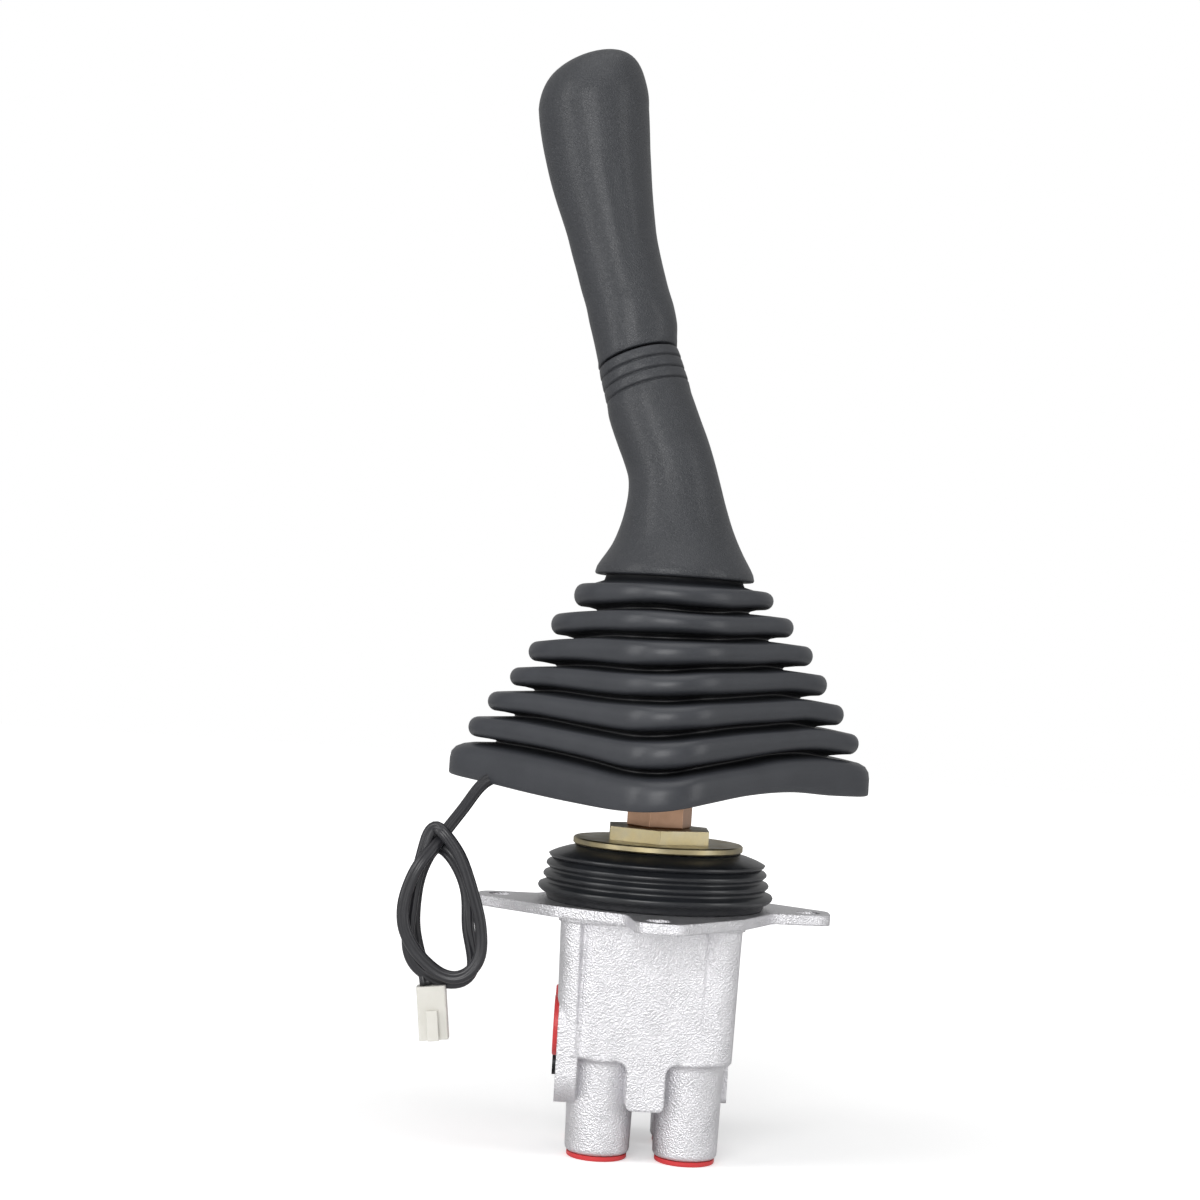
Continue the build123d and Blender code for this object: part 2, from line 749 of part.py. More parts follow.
tube_points = (
    handle_point(0, tube_foot - handle_base),
    handle_point(0, tube_bend_height),
    handle_point(
        tube_upper_length * sin(radians(lean_angle)),
        tube_bend_height + tube_upper_length * cos(radians(lean_angle)),
    ),
)
with BuildPart() as lever_tube:
    with BuildLine():
        FilletPolyline(*tube_points, radius=tube_bend_radius)
    with BuildSketch(Plane.XY.offset(tube_foot)):
        Circle(tube_radius)
        Circle(tube_radius - tube_wall, mode=Mode.SUBTRACT)
    sweep()
lever_tube.part.label = "lever_tube"
export_step(lever_tube.part, "parts/lever_tube.step")

with BuildPart() as tube_space:
    with BuildLine():
        FilletPolyline(*tube_points, radius=tube_bend_radius)
    with BuildSketch(Plane.XY.offset(tube_foot)):
        Circle(tube_radius + running_fit)
    sweep()

# ================================================================ handle
# Neck: a flared skirt that leans over into a round neck.  Offset, height and tilt of
# each section, then its radius as a share of the way from the neck's to the skirt's.
neck_sections = (
    (0.0, 0.0, 0.0, 1.0),
    (0.1, 11.5, 0.0, 0.65),
    (1.2, 28.0, 7.0, 0.22),
    (8.4, 52.0, 22.0, 0.03),
)
lean_sine = sin(radians(lean_angle))
lean_cosine = cos(radians(lean_angle))


def joint_section(distance):
    """Section plane at a distance along the handle from the joint of neck and grip."""
    return handle_plane(
        joint_offset + distance * lean_sine,
        neck_height + distance * lean_cosine,
        lean_angle,
    )


neck_end = joint_section(-joint_gap / 2)
grip_start = joint_section(joint_gap / 2)
collar_recess_radius = bellows_collar_radius + running_fit

with BuildPart() as neck_sleeve:
    for offset_mm, height_mm, tilt, share in neck_sections:
        with BuildSketch(handle_plane(offset_mm, height_mm, tilt)):
            Circle(neck_radius + share * (skirt_radius - neck_radius))
    with BuildSketch(neck_end):
        Circle(neck_radius)
    loft()
    with BuildSketch(neck_end):
        Circle(joint_spigot_radius)
    extrude(amount=joint_spigot_length)
    for groove in range(groove_count):
        with BuildSketch(joint_section(-(groove + 1) * groove_pitch)):
            Circle(2 * neck_radius)
            Circle(neck_radius - groove_depth, mode=Mode.SUBTRACT)
        extrude(amount=groove_width / 2, both=True, mode=Mode.SUBTRACT)
    with BuildSketch(Plane.XY.offset(handle_base)):
        Circle(collar_recess_radius)
    extrude(amount=collar_recess_depth, mode=Mode.SUBTRACT)
    with BuildSketch(Plane(origin=(*cord_route[0][:2], handle_base + collar_recess_depth))):
        Circle(grommet_radius + running_fit)
    extrude(amount=grommet_seat + running_fit, mode=Mode.SUBTRACT)
    add(tube_space.part, mode=Mode.SUBTRACT)
neck_sleeve.part.label = "neck_sleeve"
export_step(neck_sleeve.part, "parts/neck_sleeve.step")

# Grip: a round waist that swells to a domed palm.  Offset and height above the joint,
# tilt, and the radius as a share of the way from the waist's to the palm's.
grip_sections = (
    (6.0, 22.5, 20.0, 0.07),
    (15.0, 49.0, 17.0, 0.24),
    (22.0, 73.5, 14.0, 0.71),
    (26.5, 95.0, 10.5, 1.0),
    (29.4, 122.6, 8.0, 0.94),
)
button_offset = 26.2        # of the button's height on the grip's centreline
button_axis_x = handle_point(joint_offset + button_offset, 0)[0]
button_axis_y = handle_point(joint_offset + button_offset, 0)[1]
button_z = handle_base + neck_height + button_height
button_face = button_axis_y + palm_radius - button_sink
button_plane = Plane(origin=(button_axis_x, button_face, button_z), z_dir=(0, 1, 0))
switch_top = -bezel_depth
switch_pocket = bezel_depth + switch_length

with BuildPart() as grip:
    with BuildSketch(grip_start):
        Circle(grip_radius)
    for offset_mm, height_mm, tilt, share in grip_sections:
        with BuildSketch(handle_plane(joint_offset + offset_mm, neck_height + height_mm, tilt)):
            Circle(grip_radius + share * (palm_radius - grip_radius))
    loft()
    fillet(grip.faces().sort_by(Axis.Z)[-1].edges(), radius=palm_dome_radius)
    with BuildSketch(grip_start):
        Circle(joint_spigot_radius + running_fit)
    extrude(amount=joint_spigot_length - joint_gap + soft_gap, mode=Mode.SUBTRACT)
    add(tube_space.part, mode=Mode.SUBTRACT)
    # pocket for the horn button on the thumb side
    with BuildSketch(button_plane):
        Circle(bezel_radius + running_fit)
    extrude(amount=2 * bezel_depth, mode=Mode.SUBTRACT)
    with BuildSketch(button_plane):
        Circle(bezel_radius + running_fit)
    extrude(amount=-bezel_depth, mode=Mode.SUBTRACT)
    with BuildSketch(button_plane):
        Circle(switch_radius + running_fit)
    extrude(amount=-switch_pocket, mode=Mode.SUBTRACT)
grip.part.label = "grip"
export_step(grip.part, "parts/grip.step")

# ================================================================ horn button
bezel_bore = button_radius + running_fit
with BuildPart() as button_bezel:
    with BuildSketch(button_plane.offset(-bezel_depth)):
        Circle(bezel_radius)
        Circle(bezel_bore, mode=Mode.SUBTRACT)
    extrude(amount=bezel_depth + bezel_lip)
    fillet(button_bezel.faces().sort_by(Axis.Y)[-1].edges(), radius=bezel_edge_radius)
button_bezel.part.label = "button_bezel"
export_step(button_bezel.part, "parts/button_bezel.step")

with BuildPart() as button_switch:
    with BuildSketch(button_plane.offset(switch_top - switch_length)):
        Circle(switch_radius)
    extrude(amount=switch_length)
    with BuildSketch(button_plane.offset(switch_top)):
        Circle(switch_stem_radius)
    extrude(amount=switch_stem_length)
button_switch.part.label = "button_switch"
export_step(button_switch.part, "parts/button_switch.step")

button_thickness = button_proud + bezel_depth - button_travel - button_floor_gap
with BuildPart() as horn_button:
    with BuildSketch(button_plane.offset(button_proud - button_thickness)):
        Circle(button_radius)
    extrude(amount=button_thickness)
    fillet(horn_button.faces().sort_by(Axis.Y)[-1].edges(), radius=button_edge_radius)
horn_button.part.label = "horn_button"
export_step(horn_button.part, "parts/horn_button.step")

button_spring_height = button_proud - button_thickness - switch_top - button_spring_wire
with BuildPart() as button_spring:
    with BuildLine() as button_coil:
        Helix(
            pitch=button_spring_height / button_spring_turns,
            height=button_spring_height,
            radius=button_spring_radius,
            center=(button_axis_x, button_face + switch_top + button_spring_wire / 2, button_z),
            direction=(0, 1, 0),
        )
    with BuildSketch(Plane(origin=button_coil.line @ 0, z_dir=button_coil.line % 0)):
        Rectangle(button_spring_wire * wire_square, button_spring_wire * wire_square)
    sweep(is_frenet=True)
button_spring.part.label = "button_spring"
export_step(button_spring.part, "parts/button_spring.step")

# ================================================================ outer bellows
# A hollow rounded square with one corner to the operator; each roll has a blunt tip.
bellows_rows = []
for roll in range(roll_count):
    share = roll / (roll_count - 1)
    tip = bellows_top_diagonal + share * (bellows_bottom_diagonal - bellows_top_diagonal)
    corner = bellows_top_corner + share * (bellows_bottom_corner - bellows_top_corner)
    level = handle_base - roll_first_drop - roll * roll_pitch
    bellows_rows.append((level + roll_half_height, tip - roll_tip_round, corner))
    bellows_rows.append((level + roll_half_height / 3, tip, corner))
    bellows_rows.append((level - roll_half_height / 3, tip, corner))
    bellows_rows.append((level - roll_half_height, tip - roll_tip_round, corner))
    valley = tip + (bellows_bottom_diagonal - bellows_top_diagonal) / (2 * roll_count) - roll_inset
    bellows_rows.append((level - roll_pitch / 2, valley, corner))
lip_level = handle_base - roll_first_drop - roll_count * roll_pitch
bellows_rows.append(
    (lip_level + roll_half_height, bellows_lip_diagonal - bellows_lip_slope, bellows_bottom_corner)
)
bellows_rows.append((lip_level, bellows_lip_diagonal, bellows_bottom_corner))
lip_bottom = lip_level + roll_half_height - bellows_lip_height
bellows_rows.append((lip_bottom, bellows_lip_diagonal, bellows_bottom_corner))

with BuildPart() as outer_boot:
    for level, diagonal, corner in bellows_rows:
        half_side = bellows_half_side(diagonal, corner)
        with BuildSketch(Plane.XY.offset(level)):
            RectangleRounded(2 * half_side, 2 * half_side, corner, rotation=45)
            inner_half = half_side - bellows_wall
            RectangleRounded(
                2 * inner_half,
                2 * inner_half,
                corner - bellows_wall,
                rotation=45,
                mode=Mode.SUBTRACT,
            )
    loft(ruled=True)
    # top web and the collar that sits in the handle's foot
    top_level = bellows_rows[0][0]
    top_half = bellows_half_side(bellows_rows[0][1], bellows_top_corner)
    with BuildSketch(Plane.XY.offset(top_level)):
        RectangleRounded(2 * top_half, 2 * top_half, bellows_top_corner, rotation=45)
        Circle(bellows_collar_radius - bellows_wall, mode=Mode.SUBTRACT)
    extrude(amount=-bellows_wall / 2)
    with BuildSketch(Plane.XY.offset(top_level - bellows_wall / 2)):
        Circle(bellows_collar_radius)
        Circle(bellows_collar_radius - bellows_wall, mode=Mode.SUBTRACT)
    extrude(amount=handle_base + collar_recess_depth - top_level + bellows_wall / 2)
outer_boot.part.label = "outer_boot"
export_step(outer_boot.part, "parts/outer_boot.step")

# ================================================================ inner bellows
boot_top = cam_underside - soft_gap - flange_top
outline = [(boot_foot_radius, 0.0)]
for ridge_radius, ridge_height in boot_ridges:
    outline.append((ridge_radius - boot_ridge_round, ridge_height - boot_ridge_round))
    outline.append((ridge_radius, ridge_height - boot_ridge_round / 3))
    outline.append((ridge_radius, ridge_height + boot_ridge_round / 3))
    outline.append((ridge_radius - boot_valley_inset, ridge_height + boot_ridge_round))
outline.append((boot_neck_radius, boot_top - boot_bead))
outline.append((boot_neck_radius, boot_top))
inner_line = [(boot_neck_radius - boot_wall, boot_top)]
inner_line.append((boot_neck_radius - boot_wall, boot_top - 2 * boot_bead))
inner_line.append((boot_spigot_radius + soft_gap, boot_spigot_height + 2 * boot_wall))
inner_line.append((boot_spigot_radius + soft_gap, 0.0))
with BuildPart() as small_boot:
    with BuildSketch(Plane(origin=(0, 0, flange_top), x_dir=(1, 0, 0), z_dir=(0, -1, 0))):
        with BuildLine():
            Polyline(*outline, *inner_line, close=True)
        make_face()
    revolve(axis=Axis.Z)
small_boot.part.label = "small_boot"
export_step(small_boot.part, "parts/small_boot.step")

# ================================================================ plugs
plug_stem_radius = port_bore_radius - plug_fit
with BuildPart() as port_plugs:
    with Locations(*port_places):
        with Locations((0, 0, -boss_bottom_depth)):
            Cylinder(
                plug_flange_radius,
                plug_flange_thickness,
                align=(Align.CENTER, Align.CENTER, Align.MAX),
            )
            Cylinder(
                plug_stem_radius,
                plug_stem_length,
                align=(Align.CENTER, Align.CENTER, Align.MIN),
            )
        with Locations((0, 0, -boss_bottom_depth + plug_stem_length)):
            Hole(plug_stem_radius - plug_wall, depth=plug_stem_length)
    fillet(port_plugs.edges().group_by(Axis.Z)[0], radius=plug_edge_radius)
port_plugs.part.label = "port_plugs"
export_step(port_plugs.part, "parts/port_plugs.step")

side_stem_length = side_port_length - stem_end_gap
with BuildPart() as side_port_plugs:
    with BuildSketch(pad_plane):
        with Locations((-side_port_spacing / 2, side_port_depth), (side_port_spacing / 2, side_port_depth)):
            Circle(plug_flange_radius)
    extrude(amount=plug_flange_thickness)
    fillet(side_port_plugs.edges().group_by(Axis.X)[0], radius=plug_edge_radius)
    with BuildSketch(pad_plane):
        with Locations((-side_port_spacing / 2, side_port_depth), (side_port_spacing / 2, side_port_depth)):
            Circle(plug_stem_radius)
            Circle(plug_stem_radius - plug_wall, mode=Mode.SUBTRACT)
    extrude(amount=-side_stem_length)
side_port_plugs.part.label = "side_port_plugs"
export_step(side_port_plugs.part, "parts/side_port_plugs.step")

with BuildPart() as gallery_plug:
    with BuildSketch(pad_plane):
        with Locations((0, gallery_depth)):
            Circle(gallery_plug_head)
    extrude(amount=gallery_plug_thickness)
    with BuildSketch(pad_plane):
        with Locations((0, gallery_depth)):
            Circle(gallery_radius - thread_fit)
    extrude(amount=-gallery_length + stem_end_gap)
    with BuildSketch(pad_plane.offset(gallery_plug_thickness)):
        with Locations((0, gallery_depth)):
            RegularPolygon(gallery_key_across / 2, 6, major_radius=False)
    extrude(amount=-gallery_key_depth, mode=Mode.SUBTRACT)
gallery_plug.part.label = "gallery_plug"
export_step(gallery_plug.part, "parts/gallery_plug.step")

# ================================================================ lead and connector
corner_radii = []
for before, corner, after in zip(cord_route, cord_route[1:], cord_route[2:]):
    run_in = Vector(*corner) - Vector(*before)
    run_out = Vector(*after) - Vector(*corner)
    half_turn = radians(run_in.get_angle(run_out)) / 2
    corner_radii.append(bend_share * min(run_in.length, run_out.length) / tan(half_turn))
print("cord radii", [round(radius, 1) for radius in corner_radii])

with BuildPart() as cord_lead:
    with BuildLine() as cord_line:
        FilletPolyline(*cord_route, radius=corner_radii)
    with BuildSketch(Plane(origin=cord_line.line @ 0, z_dir=cord_line.line % 0)):
        Circle(cord_radius)
    sweep()
cord_lead.part.label = "cord_lead"
export_step(cord_lead.part, "parts/cord_lead.step")
cord_length = sum(edge.length for edge in cord_line.edges())
print("cord lead", round(cord_length, 1), "volume ratio",
      round(cord_lead.part.volume / (pi * cord_radius**2 * cord_length), 4))

with BuildPart() as cord_coil:
    with BuildSketch(Plane(origin=coil_centre, x_dir=(1, 0, 0), z_dir=(0, -1, 0))):
        Ellipse(coil_half_width, coil_half_height)
        Ellipse(
            coil_half_width - coil_ring_width,
            coil_half_height - coil_ring_width,
            mode=Mode.SUBTRACT,
        )
    extrude(amount=coil_thickness / 2, both=True)
cord_coil.part.label = "cord_coil"
export_step(cord_coil.part, "parts/cord_coil.step")

grommet_top = handle_base + collar_recess_depth + grommet_seat
with BuildPart() as cord_grommet:
    with BuildSketch(Plane(origin=(*cord_route[0][:2], grommet_top))):
        Circle(grommet_radius)
        Circle(cord_radius + running_fit, mode=Mode.SUBTRACT)
    extrude(amount=-grommet_length)
cord_grommet.part.label = "cord_grommet"
export_step(cord_grommet.part, "parts/cord_grommet.step")

# Connector: a nylon housing with two cells open at its foot, and a latch on its front.
connector_sine = sin(radians(connector_tilt))
connector_cosine = cos(radians(connector_tilt))
connector_drop = coil_half_height + soft_gap + connector_width * connector_sine / 2
connector_plane = Plane(
    origin=(coil_centre[0] + connector_offset, coil_centre[1], coil_centre[2] - connector_drop),
    x_dir=(connector_cosine, 0, connector_sine),
    z_dir=(connector_sine, 0, -connector_cosine),
)
cell_width = (connector_width - 2 * connector_wall - connector_partition) / 2
cell_shift = (cell_width + connector_partition) / 2
cell_floor = connector_height - socket_depth
latch_root = connector_depth / 2 + latch_slot
with BuildPart() as connector_housing:
    with BuildSketch(connector_plane):
        RectangleRounded(connector_width, connector_depth, connector_edge_radius)
    extrude(amount=connector_height)
    with BuildSketch(connector_plane.offset(cell_floor)):
        with Locations((-cell_shift, 0), (cell_shift, 0)):
            Rectangle(cell_width, connector_depth - 2 * connector_wall)
    extrude(amount=socket_depth, mode=Mode.SUBTRACT)
    # latch: an arm that springs from a root at its lower end
    with BuildSketch(connector_plane.offset(connector_height - latch_length)):
        with Locations((0, latch_root + latch_thickness / 2)):
            Rectangle(latch_width, latch_thickness)
    extrude(amount=latch_length)
    with BuildSketch(connector_plane.offset(connector_height - latch_thickness)):
        with Locations((0, (connector_depth + latch_slot) / 2)):
            Rectangle(latch_width, latch_slot)
    extrude(amount=latch_thickness)
connector_housing.part.label = "connector_housing"
export_step(connector_housing.part, "parts/connector_housing.step")

with BuildPart() as connector_terminals:
    with BuildSketch(connector_plane.offset(cell_floor)):
        with Locations((-cell_shift, 0), (cell_shift, 0)):
            Circle(terminal_radius)
    extrude(amount=socket_depth - terminal_setback)
    fillet(connector_terminals.edges().group_by(Axis.Z)[0], radius=terminal_radius / 2)
connector_terminals.part.label = "connector_terminals"
export_step(connector_terminals.part, "parts/connector_terminals.step")
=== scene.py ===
"""Looks of a hydraulic pilot joystick valve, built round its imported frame.

The frame gives every rigid piece at its real size.  This script makes the soft and
moulded pieces as their own meshes, gives every piece its finish, and sets a plain
studio round the whole.  Sizes are written in millimetres and become metres where a
mesh is made.
"""

from __future__ import annotations

import json
import logging
import math
from dataclasses import dataclass, field
from enum import Enum
from functools import partial
from typing import Callable, Iterable, Sequence

import bmesh
import bpy
from bmesh.types import BMEdge, BMesh, BMVert
from bpy.types import ID, Material, Node, NodeSocket, NodeTree, Object
from mathutils import Matrix, Vector
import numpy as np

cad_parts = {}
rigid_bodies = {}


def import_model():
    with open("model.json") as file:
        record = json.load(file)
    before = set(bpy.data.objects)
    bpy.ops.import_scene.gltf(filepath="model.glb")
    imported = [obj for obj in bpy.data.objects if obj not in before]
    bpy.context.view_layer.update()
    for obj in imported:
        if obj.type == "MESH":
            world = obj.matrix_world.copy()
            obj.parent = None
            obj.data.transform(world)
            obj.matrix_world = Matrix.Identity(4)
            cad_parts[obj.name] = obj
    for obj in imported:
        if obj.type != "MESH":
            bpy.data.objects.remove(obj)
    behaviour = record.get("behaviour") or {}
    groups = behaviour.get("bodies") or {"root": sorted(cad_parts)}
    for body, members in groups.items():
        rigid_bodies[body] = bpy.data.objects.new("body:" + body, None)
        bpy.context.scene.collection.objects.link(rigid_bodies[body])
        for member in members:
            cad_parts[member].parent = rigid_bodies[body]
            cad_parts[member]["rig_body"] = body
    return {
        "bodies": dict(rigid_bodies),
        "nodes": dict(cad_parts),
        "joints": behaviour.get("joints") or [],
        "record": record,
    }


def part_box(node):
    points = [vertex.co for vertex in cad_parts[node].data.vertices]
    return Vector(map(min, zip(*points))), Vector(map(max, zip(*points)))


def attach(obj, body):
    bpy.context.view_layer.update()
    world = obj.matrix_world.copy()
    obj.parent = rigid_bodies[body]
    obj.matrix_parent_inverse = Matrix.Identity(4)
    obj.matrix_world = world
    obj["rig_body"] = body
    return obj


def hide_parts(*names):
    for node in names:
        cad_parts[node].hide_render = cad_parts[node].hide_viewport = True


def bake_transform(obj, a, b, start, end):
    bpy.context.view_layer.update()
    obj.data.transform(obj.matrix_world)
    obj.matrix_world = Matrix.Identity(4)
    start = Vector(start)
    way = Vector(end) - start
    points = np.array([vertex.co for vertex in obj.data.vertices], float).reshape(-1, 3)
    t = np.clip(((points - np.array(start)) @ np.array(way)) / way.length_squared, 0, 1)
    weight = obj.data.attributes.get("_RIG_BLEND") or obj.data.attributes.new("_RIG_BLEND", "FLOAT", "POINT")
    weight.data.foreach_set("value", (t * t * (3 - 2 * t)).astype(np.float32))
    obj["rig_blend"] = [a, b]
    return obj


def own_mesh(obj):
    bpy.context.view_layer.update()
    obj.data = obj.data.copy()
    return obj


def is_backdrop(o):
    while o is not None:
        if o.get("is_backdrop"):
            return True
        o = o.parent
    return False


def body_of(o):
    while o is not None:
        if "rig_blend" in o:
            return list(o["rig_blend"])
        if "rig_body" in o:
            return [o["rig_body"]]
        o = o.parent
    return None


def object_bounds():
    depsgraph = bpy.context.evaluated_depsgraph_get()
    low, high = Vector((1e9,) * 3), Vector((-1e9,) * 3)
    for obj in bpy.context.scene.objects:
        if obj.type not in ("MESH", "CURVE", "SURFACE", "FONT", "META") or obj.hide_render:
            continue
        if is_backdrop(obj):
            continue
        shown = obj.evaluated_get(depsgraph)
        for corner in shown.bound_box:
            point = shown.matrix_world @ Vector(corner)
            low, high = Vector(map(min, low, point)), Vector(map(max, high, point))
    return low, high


LOG = logging.getLogger("pilot_valve")
Row = tuple[float, ...]
Point = tuple[float, float, float]

MM = 0.001
SPRING_SETS = (1, 2, 3, 4)

# Noise values between which the colour and the gloss drift from end to end.
COLOUR_DRIFT = (0.35, 0.62)
GLOSS_DRIFT = (0.3, 0.7)
# Shade painted into the folds: open share round a point at which a fold is painted darkest, and from which
# it isn't painted dark.
PAINTED_SHADE_OPEN = (0.25, 0.8)
# Share of the base colour left where the painted shade is darkest.
PAINTED_SHADE_DARKEST = 0.22
COAT_ROUGHNESS = 0.12
LIGHT_DEPTH_MM = 2.0
# Texture scale at which a turned ring repeats about every two cells.
RING_SCALE = 0.159


# ---- small helpers
def linear(hex_colour: str) -> tuple[float, float, float, float]:
    """Turn an sRGB hex colour into the linear values that shaders take.

    Args:
        hex_colour: Six hex digits, with or without a leading hash.

    Returns:
        Red, green, blue and an alpha of one.
    """
    digits = hex_colour.lstrip("#")
    channels = [int(digits[i:i + 2], 16) / 255 for i in (0, 2, 4)]
    low = [c / 12.92 if c <= 0.04045 else ((c + 0.055) / 1.055) ** 2.4 for c in channels]
    return (low[0], low[1], low[2], 1.0)


def per_mm(size_mm: float) -> float:
    """Texture scale at which one cell of a pattern is size_mm across."""
    return 1.0 / (size_mm * MM)


def mix(start: float, end: float, share: float) -> float:
    """Value a share of the way from start to end."""
    return start + (end - start) * share


def smooth(low: float, high: float, value: float) -> float:
    """Smooth step from 0 at low to 1 at high."""
    share = min(1.0, max(0.0, (value - low) / (high - low)))
    return share * share * (3 - 2 * share)


def through(stations: Sequence[Row], at: float) -> list[float]:
    """Read a smooth curve through stations whose first number is the place.

    Args:
        stations: Rows of place and values, in order of place.
        at: The place to read.

    Returns:
        The values there, on a cubic that takes its slopes from the stations on both sides.
    """
    places = [row[0] for row in stations]
    last = len(stations) - 1
    at = min(max(at, places[0]), places[-1])
    i = max(k for k in range(last) if places[k] <= at) if at > places[0] else 0
    span = places[i + 1] - places[i]
    t = (at - places[i]) / span
    values = []
    for column in range(1, len(stations[0])):
        a, b = stations[i][column], stations[i + 1][column]
        before = stations[max(i - 1, 0)]
        after = stations[min(i + 2, last)]
        slope_in = (b - before[column]) / (places[i + 1] - before[0]) * span
        slope_out = (after[column] - a) / (after[0] - places[i]) * span
        h00 = 2 * t**3 - 3 * t**2 + 1
        h10 = t**3 - 2 * t**2 + t
        h01 = -2 * t**3 + 3 * t**2
        h11 = t**3 - t**2
        values.append(h00 * a + h10 * slope_in + h01 * b + h11 * slope_out)
    return values


def add_node(tree: NodeTree, kind: str, settings: dict | None = None,
             inputs: dict | None = None) -> Node:
    """Add a shader node, set it and link it.

    Args:
        tree: The node tree.
        kind: The node's type, without the prefix of shader nodes.
        settings: Attribute values of the node.
        inputs: Input socket name or index to a value, or to the socket it is fed from.

    Returns:
        The new node.
    """
    node = tree.nodes.new(f"ShaderNode{kind}")
    for name, value in (settings or {}).items():
        setattr(node, name, value)
    for name, value in (inputs or {}).items():
        if isinstance(value, NodeSocket):
            tree.links.new(value, node.inputs[name])
        else:
            node.inputs[name].default_value = value
    return node


def empty_tree(owner: ID) -> NodeTree:
    """Give a material or a world an empty node tree."""
    owner.use_nodes = True
    owner.node_tree.nodes.clear()
    return owner.node_tree


def show(name: str, data: ID) -> Object:
    """Put an object with this data into the scene."""
    shown = bpy.data.objects.new(name, data)
    bpy.context.scene.collection.objects.link(shown)
    return shown


# ---- finishes
class Pattern(Enum):
    """How the relief of a surface is made."""

    GRAIN = "leather grain pressed by the mould"
    SMOOTH = "faint texture of a mould or a drawn wire"
    CAST = "shot-blasted sand casting"
    TURNED = "turned rings"


